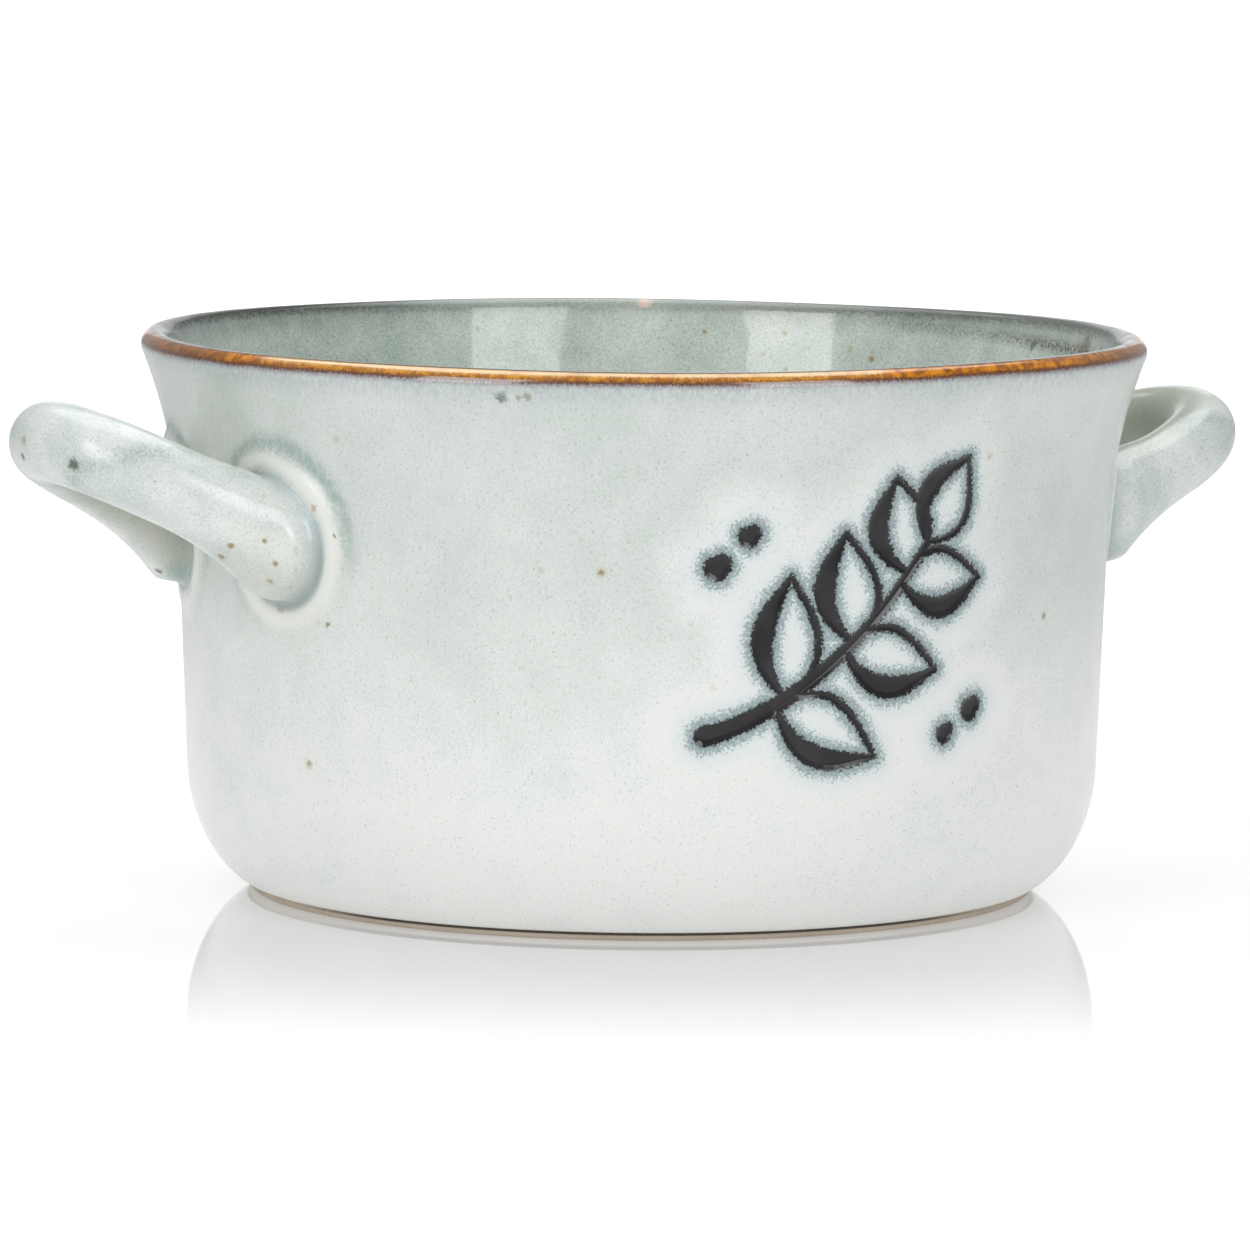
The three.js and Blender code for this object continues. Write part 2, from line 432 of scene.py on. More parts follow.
@dataclass
class TurnedPiece:
    """A piece that is thrown on the wheel: an outline spun about the bowl's axis."""

    name: str
    shape: PotShape
    facets: int
    nodes: tuple[str, ...]
    slot: Slot
    firing: Firing = Firing()
    crease_deg: float = 40.0
    ease_steps: int = 5

    def outline(self) -> list[Point]:
        """Closed outline of the piece as radius and height in millimetres."""
        raise NotImplementedError

    def values(self, points: np.ndarray) -> dict[str, np.ndarray]:
        """Numbers at the points that the finish reads, by name."""
        return {}

    def refine(self, obj: bpy.types.Object) -> None:
        """Stores the values for the finish and gives the piece the waver of the lip."""
        points = points_of(obj)
        store(obj, **self.values(points))
        set_points(obj, self.shape.settle(points))

    def build(self) -> bpy.types.Object:
        """Draws the outline from one point, spins it and hands the piece to the frame.

        Returns:
            The finished object, without a finish.
        """
        outline = self.outline()
        deselect_all()
        bpy.ops.mesh.primitive_plane_add(size=MM)
        obj = bpy.context.object
        obj.name = self.name
        obj.data.name = self.name
        bpy.ops.object.mode_set(mode="EDIT")
        bpy.ops.mesh.select_all(action="SELECT")
        bpy.ops.mesh.merge(type="CENTER")
        bpy.ops.transform.translate(value=(outline[0][0] * MM, 0, outline[0][1] * MM))
        for last, here in zip(outline, outline[1:]):
            step = ((here[0] - last[0]) * MM, 0, (here[1] - last[1]) * MM)
            bpy.ops.mesh.extrude_region_move(TRANSFORM_OT_translate={"value": step})
        bpy.ops.mesh.select_all(action="SELECT")
        bpy.ops.mesh.spin(steps=self.facets, angle=math.tau, center=(0, 0, 0), axis=(0, 0, 1))
        bpy.ops.object.mode_set(mode="OBJECT")
        close_mesh(obj, self.crease_deg)
        self.refine(obj)
        hand_over(obj, self.nodes)
        return obj


@dataclass
class ClayBody(TurnedPiece):
    """Turned clay: recess, bare foot ring, wall, lip and floor under the coats."""

    side_steps: int = 20
    lip_steps: int = 8

    def outline(self) -> list[Point]:
        """Outline from the recess round the foot and the wall to the middle of the floor."""
        shape = self.shape
        inset = shape.clay_inset
        ceiling = shape.foot_recess + inset
        ease, steps = shape.foot_ease, self.ease_steps
        wide = shape.wall_radius - shape.foot_radius + shape.corner_tuck - inset
        rise = math.sqrt(1 - (shape.corner_tuck / wide) ** 2)
        join = shape.corner_height - (shape.corner_height - inset) * rise
        return [
            (0.0, ceiling),
            (shape.foot_inner, ceiling),
            *shape.arc((shape.foot_inner + ease, ease), ease, ease, INWARD, DOWNWARD, steps),
            *shape.arc((shape.foot_radius - ease, ease), ease, ease, DOWNWARD, OUTWARD, steps),
            *shape.outer_side(inset, join, self.side_steps),
            *shape.lip_round(inset, self.lip_steps)[1:-1],
            *shape.inner_side(inset, self.side_steps),
        ]

    def values(self, points: np.ndarray) -> dict[str, np.ndarray]:
        """Height and the darkness of the painted shadow under the glaze edge above the bare foot."""
        return {"height": points[:, 2], "seam": self.firing.seam(points)}


@dataclass(frozen=True)
class Sprig:
    """A plain sprig of leaves pressed into the front of the bowl, in thick and thin strokes."""

    middle_height: float = 43.5
    wall_radius: float = 62.7
    half_span: Point = (27.0, 26.0)
    stem: tuple[Point, ...] = ((-21.0, -15.5), (-10.0, -13.0), (3.0, -2.0), (10.0, 9.0))
    stem_half: Point = (1.3, 0.5)
    stem_points: int = 25
    leaf_spots: tuple[float, ...] = (0.3, 0.58, 0.86)
    leaf_length: Point = (17.5, 12.0)
    leaf_half_width: float = 3.9
    leaf_points: int = 13
    leaf_belly: float = 0.85
    leaf_bend: float = 1.2
    leaf_offset: float = 0.8
    leaf_angle_deg: float = 58.0
    leaf_fold: float = 0.25
    thick: float = 1.45
    thin: float = 0.5
    tip: float = 0.34
    swell_power: float = 1.3
    berries: tuple[Triple, ...] = (
        (-19.5, 6.5, 1.7), (-15.5, 10.5, 1.4), (18.5, -13.5, 1.6), (14.0, -16.5, 1.3),
    )
    berry_run: Point = (0.5, 0.4)
    berry_taper: float = 0.8

    def stem_at(self, share: float) -> tuple[np.ndarray, np.ndarray]:
        """Place and direction on the stem, at a share of its length."""
        a, b, c, d = (np.array(p) for p in self.stem)
        rest = 1 - share
        place = rest ** 3 * a + 3 * rest ** 2 * share * b + 3 * rest * share ** 2 * c + share ** 3 * d
        run = rest ** 2 * (b - a) + 2 * rest * share * (c - b) + share ** 2 * (d - c)
        return place, run / np.linalg.norm(run)

    def leaf(self, foot: np.ndarray, run: np.ndarray, length: float, side: int) -> list[np.ndarray]:
        """Two strokes that bound a leaf, one thick and one thin.

        Args:
            foot: Where the leaf leaves the stem.
            run: Direction of the leaf.
            length: Length of the leaf.
            side: Sign of the thick stroke's side.

        Returns:
            Strokes as rows of place and half width.
        """
        across = np.array([-run[1], run[0]])
        strokes = []
        for sign, heavy in ((side, self.thick), (-side, self.thin)):
            rows = []
            for x in np.linspace(0, 1, self.leaf_points):
                bow = self.leaf_half_width * math.sin(math.pi * x ** self.leaf_belly) * sign
                place = foot + run * length * x + across * (bow + side * self.leaf_bend * x * x)
                swell = math.sin(math.pi * x) ** self.swell_power
                rows.append((*place, self.tip + (heavy - self.tip) * swell))
            strokes.append(np.array(rows))
        return strokes

    def strokes(self) -> list[np.ndarray]:
        """All strokes of the sprig, as rows of place and half width."""
        stem = []
        for share in np.linspace(0, 1, self.stem_points):
            half = self.stem_half[0] + (self.stem_half[1] - self.stem_half[0]) * share
            stem.append((*self.stem_at(share)[0], half))
        found = [np.array(stem)]
        for share in self.leaf_spots:
            foot, run = self.stem_at(share)
            length = self.leaf_length[0] + (self.leaf_length[1] - self.leaf_length[0]) * share
            for side in (-1, 1):
                angle = math.radians(self.leaf_angle_deg) * side * (1 - self.leaf_fold * share)
                turn = np.array([[math.cos(angle), -math.sin(angle)], [math.sin(angle), math.cos(angle)]])
                found += self.leaf(foot + run * side * self.leaf_offset, turn @ run, length, side)
        tip, run = self.stem_at(1.0)
        found += self.leaf(tip, run, self.leaf_length[1], 1)
        for x, y, half in self.berries:
            end = (x + self.berry_run[0], y + self.berry_run[1], half * self.berry_taper)
            found.append(np.array([(x, y, half), end]))
        return found

    def distance(self, points: np.ndarray) -> np.ndarray:
        """Distance from points on the wall to the edge of the nearest stroke.

        Args:
            points: Points in millimetres.

        Returns:
            Distances in millimetres, negative inside a stroke, at most the reach.
        """
        along = np.arctan2(points[:, 0], -points[:, 1]) * self.wall_radius
        flat = np.stack([along, points[:, 2] - self.middle_height], axis=1)
        found = np.full(len(points), SPRIG_REACH)
        near = (np.abs(flat) < np.array(self.half_span) + SPRIG_REACH).all(axis=1)
        spot = flat[near]
        best = found[near]
        for rows in self.strokes():
            for a, b in zip(rows, rows[1:]):
                run = b[:2] - a[:2]
                share = np.clip((spot - a[:2]) @ run / (run @ run), 0, 1)
                gap = np.linalg.norm(spot - a[:2] - share[:, None] * run, axis=1)
                best = np.minimum(best, gap - (a[2] + share * (b[2] - a[2])))
        found[near] = best
        return found


@dataclass(frozen=True)
class HandleShape:
    """Sizes that both handles share, and those of the collar round each root, in millimetres."""

    root_radius: float = 8.4
    spread: float = 16.0
    root_drop: float = 24.0
    power: float = 0.72
    toe_out: float = 8.0
    fillet_height: float = 4.4
    fillet_lean: float = 0.7
    fillet_dip: Point = (0.8, 0.6)
    fillet_pool_and_shade: float = 0.4
    valley_radius: float = 8.9
    valley_height: float = 1.0
    valley_out: float = 0.0
    ridge_height: float = 1.3
    ridge_out: float = 1.5
    foot_out: float = 4.8
    skirt: float = 7.0
    skirt_slope: float = 0.05
    skirt_sink: float = 0.5
    pole_sink: float = 0.6
    level: Point = (0.66, 0.34)
    crest_past: float = 0.3
    crest_width: float = 1.8
    dip_inside: float = 0.3
    dip_width: float = 0.9
    dip_relief: float = 1.1
    grip_span: Point = (3.6, 1.2)
    # Where the pooled glaze and painted shade lie round each root, and how far they reach.
    pool_and_shade_way: Point = (0.65, -0.75)
    pool_and_shade_span: Point = (0.2, 0.95)
    halo_out: float = 3.4
    halo_width: float = 1.3
    halo_least: float = 0.3
    halo_rise: Point = (-10.0, 8.0)

    def root_place(self, shape: PotShape) -> Point:
        """Radius and height at which the middles of the roots sit on the wall."""
        height = shape.bowl_height - self.root_drop
        return float(shape.skin_radius(np.array([height]))[0]), height

    def ridge(self, out: float) -> float:
        """Height of the collar above the wall at a distance out from the tube's foot."""
        rise = smooth_step(self.valley_out, self.ridge_out, out)
        fall = smooth_step(self.ridge_out, self.foot_out, out)
        height = self.valley_height + (self.ridge_height - self.valley_height) * rise
        return height * (1 - fall) - self.skirt_slope * max(out - self.foot_out, 0)

    def collar_values(self, out: float) -> Triple:
        """Relief, grip and the pooling and painted shade of the collar at a distance out from the tube's
        foot.
        """
        crest = bell(out - self.ridge_out - self.crest_past, self.crest_width)
        dip = bell(out - self.valley_out + self.dip_inside, self.dip_width)
        return crest - self.dip_relief * dip, smooth_step(*self.grip_span, out), dip

    def fillet_values(self, share: float) -> Triple:
        """Relief, grip and the pooling and painted shade at a share of the fillet from the collar to the
        tube.
        """
        return -self.fillet_dip[0] * bell(share, self.fillet_dip[1]), 1.0, bell(share, self.fillet_pool_and_shade)

    def halo(self, shape: PotShape, points: np.ndarray) -> np.ndarray:
        """How much glaze has pooled at the foot of the nearest collar.

        Args:
            shape: The pot that the collars sit on.
            points: Points on the wall or a collar, in millimetres.

        Returns:
            Shares from 0 to 1, more above a root than below it.
        """
        radius, height = self.root_place(shape)
        up = points[:, 2] - height
        offset = math.asin(self.spread / radius)
        gaps = []
        for middle in (offset, -offset, math.pi - offset, math.pi + offset):
            along = Firing.swing(points, math.degrees(middle)) * radius
            gaps.append(np.hypot(along, up) - self.valley_radius)
        share = self.halo_least + (1 - self.halo_least) * smooth_step(*self.halo_rise, up)
        return share * bell(np.min(gaps, axis=0) - self.halo_out, self.halo_width)


@dataclass
class OuterCoat(TurnedPiece):
    """Pale coat over the outside wall, with the pressed sprig and the values its finish reads."""

    handle: HandleShape = HandleShape()
    sprig: Sprig = Sprig()
    groove: float = 0.3
    groove_span: Point = (0.25, -0.7)
    sprig_cuts: int = 2
    sprig_margin: float = 2.4
    skin_steps: int = 40
    back_steps: int = 8
    heel_out: float = 0.06
    heel_up: float = 0.1
    bead_drop: float = 0.16

    def outline(self) -> list[Point]:
        """Outline up the skin and back down inside it, with a rounded lower edge."""
        shape = self.shape
        skin = shape.outer_side(0.0, shape.bare_height, self.skin_steps)
        back = shape.outer_side(shape.glaze, shape.bare_height + shape.glaze, self.back_steps)[::-1]
        heel = (shape.foot_radius + self.heel_out, shape.bare_height + self.heel_up)
        bead = ((heel[0] + skin[0][0]) / 2, shape.bare_height - self.bead_drop)
        return [*skin, *back, heel, bead, skin[0]]

    def values(self, points: np.ndarray) -> dict[str, np.ndarray]:
        """Distance below the crest, thickness of the iron, pools at the collars, distance to the sprig."""
        return {
            "crest": self.shape.bowl_height - points[:, 2],
            "amber": self.firing.iron(points),
            "halo": self.handle.halo(self.shape, points),
            "sprig": self.sprig.distance(points),
        }

    def refine(self, obj: bpy.types.Object) -> None:
        """Divides the faces under the sprig, stores values for the finish and presses the sprig in."""
        self.divide(obj)
        points = points_of(obj)
        values = self.values(points)
        store(obj, **values)
        # New points lie on the chords of the spin's facets, so they are first moved out to the circle.
        radius = np.hypot(points[:, 0], points[:, 1])
        step = math.tau / self.facets
        swing = np.arctan2(points[:, 1], points[:, 0]) % step - step / 2
        true_radius = radius * np.cos(swing) / math.cos(step / 2)
        depth = self.groove * smooth_step(*self.groove_span, values["sprig"])
        points[:, :2] *= ((true_radius - depth) / radius)[:, None]
        set_points(obj, self.shape.settle(points))

    def divide(self, obj: bpy.types.Object) -> None:
        """Cuts the skin's faces at the sprig's strokes into smaller ones."""
        bpy.context.tool_settings.mesh_select_mode = (False, False, True)
        bpy.ops.object.mode_set(mode="EDIT")
        bpy.ops.mesh.select_all(action="DESELECT")
        bpy.ops.object.mode_set(mode="OBJECT")
        flat = np.empty(len(obj.data.polygons) * 3)
        obj.data.polygons.foreach_get("center", flat)
        middles = flat.reshape(-1, 3) / MM
        radius = np.hypot(middles[:, 0], middles[:, 1])
        skin = radius > self.shape.skin_radius(middles[:, 2]) - self.shape.glaze / 2
        near = self.sprig.distance(middles) < self.sprig_margin
        obj.data.polygons.foreach_set("select", near & skin)
        bpy.ops.object.mode_set(mode="EDIT")
        bpy.ops.mesh.subdivide(number_cuts=self.sprig_cuts, ngon=False)
        bpy.ops.object.mode_set(mode="OBJECT")
        bpy.context.tool_settings.mesh_select_mode = (True, False, False)
        bpy.ops.object.shade_smooth_by_angle(angle=math.radians(self.crease_deg))


@dataclass
class RimCoat(TurnedPiece):
    """Iron-brown coat over the round of the lip."""

    skin_steps: int = 28
    back_steps: int = 10

    def outline(self) -> list[Point]:
        """Outline over the lip and back under the skin."""
        skin = self.shape.lip_round(0.0, self.skin_steps)
        return [*skin, *self.shape.lip_round(self.shape.glaze, self.back_steps)[::-1], skin[0]]

    def values(self, points: np.ndarray) -> dict[str, np.ndarray]:
        """Distance below the crest, negative on the inside, and how the lip fired, with the painted shade
        of the inside.
        """
        drop = self.shape.bowl_height - points[:, 2]
        outside = np.hypot(points[:, 0], points[:, 1]) > self.shape.lip[0]
        return {
            "crest": np.where(outside, drop, -drop),
            "stain": self.firing.stain(points),
            "tone": self.firing.tone(points),
            "amber": self.firing.iron(points),
        }


@dataclass
class InnerCoat(TurnedPiece):
    """Liner coat over the inside wall and the floor."""

    skin_steps: int = 40
    back_steps: int = 10

    def outline(self) -> list[Point]:
        """Outline from the middle of the floor up under the skin and back down it."""
        shape = self.shape
        back = shape.inner_side(shape.glaze, self.back_steps)[::-1]
        return [*back, *shape.inner_side(0.0, self.skin_steps)]

    def values(self, points: np.ndarray) -> dict[str, np.ndarray]:
        """Distance below the crest, negative as on the inside of the lip, and how the inside fired, with
        its painted shade.
        """
        return {
            "crest": points[:, 2] - self.shape.bowl_height,
            "stain": self.firing.stain(points),
            "tone": self.firing.tone(points),
            "swing": self.firing.swing(points, self.firing.pale_deg),
        }


@dataclass
class BaseCoat(TurnedPiece):
    """Coat on the recess under the floor, inside the foot ring."""

    edge_gap: float = 0.3
    ease_share: float = 0.6
    face_steps: int = 24

    def outline(self) -> list[Point]:
        """Outline of a thin disc with a rounded lower edge."""
        shape = self.shape
        low = shape.foot_recess
        high = low + shape.glaze
        edge = shape.foot_inner - self.edge_gap
        ease = shape.glaze * self.ease_share
        middle = (edge - ease, low + ease)
        bend = shape.arc(middle, ease, ease, DOWNWARD, OUTWARD, self.ease_steps)
        face = [(float(r), low) for r in np.linspace(0, edge - ease, self.face_steps)[:-1]]
        return [*face, *bend, (edge, high), (0.0, high)]


@dataclass(frozen=True)
class LoopSize:
    """What differs between the two handles: lengths in millimetres, the tilt and shares of tint and of
    painted shade.
    """

    radius: float
    flare: float
    reach: float
    tilt_deg: float
    toe: float
    shade_edge: float
    deep: float

    @property
    def tilt(self) -> float:
        """Upward tilt of the loop in radians."""
        return math.radians(self.tilt_deg)

    @property
    def length(self) -> float:
        """Length of the loop along its tilted plane."""
        return self.reach / math.cos(self.tilt)


# The right handle carries more painted shade, on the inner side of its loop and over its whole tube.
LOOPS = {
    Side.LEFT: LoopSize(
        radius=5.4, flare=16.5, reach=24.9, tilt_deg=25.9, toe=0.55, shade_edge=0.0, deep=0.0,
    ),
    Side.RIGHT: LoopSize(
        radius=5.0, flare=14.0, reach=23.8, tilt_deg=21.7, toe=0.0, shade_edge=0.8, deep=0.15,
    ),
}


@dataclass(frozen=True)
class RootLine:
    """Closed line on which a handle's root stands, unrolled on the wall, with the ways out from it."""

    shape: PotShape
    line: np.ndarray
    ways: np.ndarray
    radius: float

    @staticmethod
    def under(shape: PotShape, points: np.ndarray) -> "RootLine":
        """Unrolls the line.

        Args:
            shape: The pot that the root stands on.
            points: Points of the line, the first one again at the end.

        Returns:
            The line as places along the wall and up it.
        """
        radius = float(shape.skin_radius(points[:, 2]).mean())
        turn = np.unwrap(np.arctan2(points[:, 1], points[:, 0]))
        line = np.stack([turn * radius, points[:, 2]], axis=1)
        ways = line - line[:-1].mean(axis=0)
        return RootLine(shape, line, ways / np.linalg.norm(ways, axis=1)[:, None], radius)

    def at(self, out: float, height: float | np.ndarray) -> np.ndarray:
        """Points at a distance out from the line and a height above the skin."""
        place = self.line + self.ways * out
        turn = place[:, 0] / self.radius
        reach = self.shape.skin_radius(place[:, 1]) + height
        return np.stack([reach * np.cos(turn), reach * np.sin(turn), place[:, 1]], axis=1)


@dataclass
class LoopHandle:
    """A glazed loop handle with a raised collar round each root, closed inside the wall."""

    name: str
    side: Side
    shape: PotShape
    handle: HandleShape
    nodes: tuple[str, ...]
    facets: int = 96
    loop_rows: int = 110
    root_rows: int = 18
    fillet_rows: int = 14
    collar_rows: int = 30
    root_start: float = 12.5
    nudge: float = 0.1
    search_rounds: int = 40
    crease_deg: float = 60.0
    shade_width: float = 0.9
    lip_clear: float = 20.0
    speck_spot: Triple = (-66.0, -20.0, 46.0)
    speck_reach: float = 6.5

    @property
    def loop(self) -> LoopSize:
        """Sizes of the loop on this side."""
        return LOOPS[self.side]

    def axes(self) -> tuple[np.ndarray, np.ndarray]:
        """Frame of the loop.

        Returns:
            The origin on the wall, and rows for outwards, sideways and upright.
        """
        sign, tilt = self.side.value, self.loop.tilt
        radius, height = self.handle.root_place(self.shape)
        origin = np.array([sign * math.sqrt(radius ** 2 - self.handle.spread ** 2), 0.0, height])
        outward = np.array([sign * math.cos(tilt), 0.0, math.sin(tilt)])
        sideways = np.array([0.0, sign, 0.0])
        return origin, np.stack([outward, sideways, np.cross(outward, sideways)])

    def tube(self, turn: np.ndarray, out: np.ndarray, ring: np.ndarray) -> np.ndarray:
        """Points on the skin of the tube.

        Args:
            turn: Place along the loop, from 0 to pi.
            out: Distance out from the wall along the loop's plane, which may be negative.
            ring: Angle round the tube.

        Returns:
            Points in millimetres in the bowl's frame.
        """
        handle, loop = self.handle, self.loop
        bow = np.clip(np.sin(turn), 0, 1)
        run_x = loop.length * handle.power * np.cos(turn)
        run_y = -handle.spread * bow ** (2 - handle.power)
        size = np.hypot(run_x, run_y)
        run_x, run_y = run_x / size, run_y / size
        swell = np.clip(1 - out / loop.flare, 0, 1) ** 2
        radius = loop.radius + (handle.root_radius - loop.radius) * swell
        across = radius * np.cos(ring)
        rear = (1 - np.cos(turn)) / 2
        toe = loop.toe * rear * np.clip(1 - out / handle.toe_out, 0, 1) ** 2
        local = np.stack([
            out - across * run_y,
            handle.spread * np.cos(turn) + across * run_x,
            radius * np.sin(ring) - toe * np.clip(-np.sin(ring), 0, 1),
        ], axis=-1)
        origin, rows = self.axes()
        return origin + local @ rows

    def turn_at(self, out: np.ndarray, end: int) -> np.ndarray:
        """Place along the loop at a distance out from the wall, at one end of it."""
        turn = np.arcsin(np.clip(out / self.loop.length, 0, 1) ** (1 / self.handle.power))
        return turn if end == 0 else math.pi - turn

    def skin(self, out: np.ndarray, ring: np.ndarray, end: int) -> np.ndarray:
        """Points on the tube at distances out from the wall, at one end of the loop."""
        return self.tube(self.turn_at(out, end), out, ring)

    def foot_line(self, ring: np.ndarray, end: int, height: float) -> np.ndarray:
        """How far out the tube is at a height above the wall, by halving, for each ring angle.

        Args:
            ring: Angles round the tube.
            end: 0 for the first root, 1 for the other.
            height: Height above the skin of the wall.

        Returns:
            Distances out from the wall along the loop's plane.
        """
        low = np.full(len(ring), -self.handle.root_radius)
        high = np.full(len(ring), self.root_start)
        for _ in range(self.search_rounds):
            middle = (low + high) / 2
            points = self.skin(middle, ring, end)
            gap = np.hypot(points[:, 0], points[:, 1]) - self.shape.skin_radius(points[:, 2])
            high = np.where(gap > height, middle, high)
            low = np.where(gap > height, low, middle)
        return (low + high) / 2

    def fillet(self, start: np.ndarray, inward: np.ndarray, finish: np.ndarray,
               onward: np.ndarray) -> list[np.ndarray]:
        """Rows of a smooth curve from the collar's valley up to the tube.

        Args:
            start: Points in the valley.
            inward: Ways in which the curve leaves them.
            finish: Points on the tube.
            onward: Ways in which the curve reaches them.

        Returns:
            The rows after the valley, the last one on the tube.
        """
        size = np.linalg.norm(finish - start, axis=1)[:, None]
        leave = inward * self.handle.fillet_lean * size / np.linalg.norm(inward, axis=1)[:, None]
        reach = onward * size / np.linalg.norm(onward, axis=1)[:, None]
        rows = []
        for s in np.linspace(0, 1, self.fillet_rows)[1:]:
            lean = leave * s * (1 - s) ** 2 - reach * s * s * (1 - s)
            rows.append(start + (finish - start) * smooth_step(0, 1, s) + lean)
        return rows

    def root(self, ring: np.ndarray, end: int) -> tuple[np.ndarray, np.ndarray]:
        """Rows of one root from the middle inside the wall out over the collar to the tube.

        Args:
            ring: Angles round the tube.
            end: 0 for the first root, 1 for the other.

        Returns:
            Points by row and ring angle, and for each its relief, its share of tube and its pooling and
            painted shade.
        """
        handle = self.handle
        valley = self.foot_line(ring, end, handle.valley_height)
        foot = RootLine.under(self.shape, self.skin(valley, ring, end))
        level = handle.level[0] + handle.level[1] * foot.ways[:, 1]
        pole = np.tile(foot.at(0.0, -handle.pole_sink)[:-1].mean(axis=0), (len(ring), 1))
        bare = (0.0, 0.0, 0.0)
        rows, values = [pole, foot.at(handle.skirt, -handle.skirt_sink)], [bare, bare]
        for out in np.linspace(handle.skirt, handle.valley_out, self.collar_rows):
            rows.append(foot.at(out, handle.ridge(out) * level))
            values.append(handle.collar_values(out))
        start = rows[-1]
        inward = foot.at(handle.valley_out - self.nudge, handle.valley_height * level) - start
        top = self.foot_line(ring, end, handle.fillet_height)
        finish = self.skin(top, ring, end)
        rows += self.fillet(start, inward, finish, self.skin(top + self.nudge, ring, end) - finish)
        values += [handle.fillet_values(s) for s in np.linspace(0, 1, self.fillet_rows)[1:]]
        for share in np.linspace(0, 1, self.root_rows)[1:]:
            rows.append(self.skin(top + (self.root_start - top) * share, ring, end))
            values.append((0.0, 1.0, 0.0))
        spread = np.repeat(np.array(values)[:, None, :], len(ring), axis=1)
        # The pooled glaze and painted shade lie on the lower side of each root's crease.
        away = np.sign(pole[0, 0] * pole[0, 1])
        lean = handle.pool_and_shade_way[0] * away * foot.ways[:, 0] + handle.pool_and_shade_way[1] * foot.ways[:, 1]
        spread[:, :, 2] *= smooth_step(*handle.pool_and_shade_span, lean)
        return np.array(rows), spread

    def build(self) -> bpy.types.Object:
        """Wraps a grid over the collars and the tube and hands the piece to the frame.

        Returns:
            The finished object, without a finish.
        """
        ring = np.linspace(0, math.tau, self.facets + 1)
        first, first_values = self.root(ring, 0)
        last, last_values = self.root(ring, 1)
        start = float(self.turn_at(np.array([self.root_start]), 0)[0])
        middle = []
        for turn in np.linspace(start, math.pi - start, self.loop_rows)[1:-1]:
            out = np.full(len(ring), self.loop.length * math.sin(turn) ** self.handle.power)
            middle.append(self.tube(np.full(len(ring), turn), out, ring))
        rows = np.concatenate([first, np.array(middle), last[::-1]])
        plain = np.tile((0.0, 1.0, 0.0), (len(middle), len(ring), 1))
        values = np.concatenate([first_values, plain, last_values[::-1]]).reshape(-1, 3)
        deselect_all()
        bpy.ops.mesh.primitive_grid_add(x_subdivisions=len(ring) - 1, y_subdivisions=len(rows) - 1, size=1)
        obj = bpy.context.object
        obj.name = self.name
        obj.data.name = self.name
        set_points(obj, rows.reshape(-1, 3))
        self.tint(obj, values, np.tile(ring, len(rows)))
        close_mesh(obj, self.crease_deg)
        hand_over(obj, self.nodes)
        return obj

    def tint(self, obj: bpy.types.Object, values: np.ndarray, ring: np.ndarray) -> None:
        """Stores the values that the finish reads.

        Args:
            obj: The piece.
            values: Relief, share of tube and pooling and painted shade of each point.
            ring: Angle round the tube of each point.
        """
        points = points_of(obj)
        relief, grip, pool = values.T
        # Painted shade on the inner side of the loop, where it faces the loop's middle.
        edge = self.loop.shade_edge
        inner = smooth_step(edge, edge - self.shade_width, np.cos(ring))
        away = np.linalg.norm(points - np.array(self.speck_spot), axis=1)
        store(
            obj,
            relief=relief,
            grip=grip,
            pool=pool,
            inner=inner * grip,
            crest=np.maximum(self.shape.bowl_height - points[:, 2], self.lip_clear * grip),
            halo=self.handle.halo(self.shape, points),
            sprig=np.full(len(points), SPRIG_REACH),
            iron=bell(away, self.speck_reach),
            deep=np.full(len(points), self.loop.deep),
        )


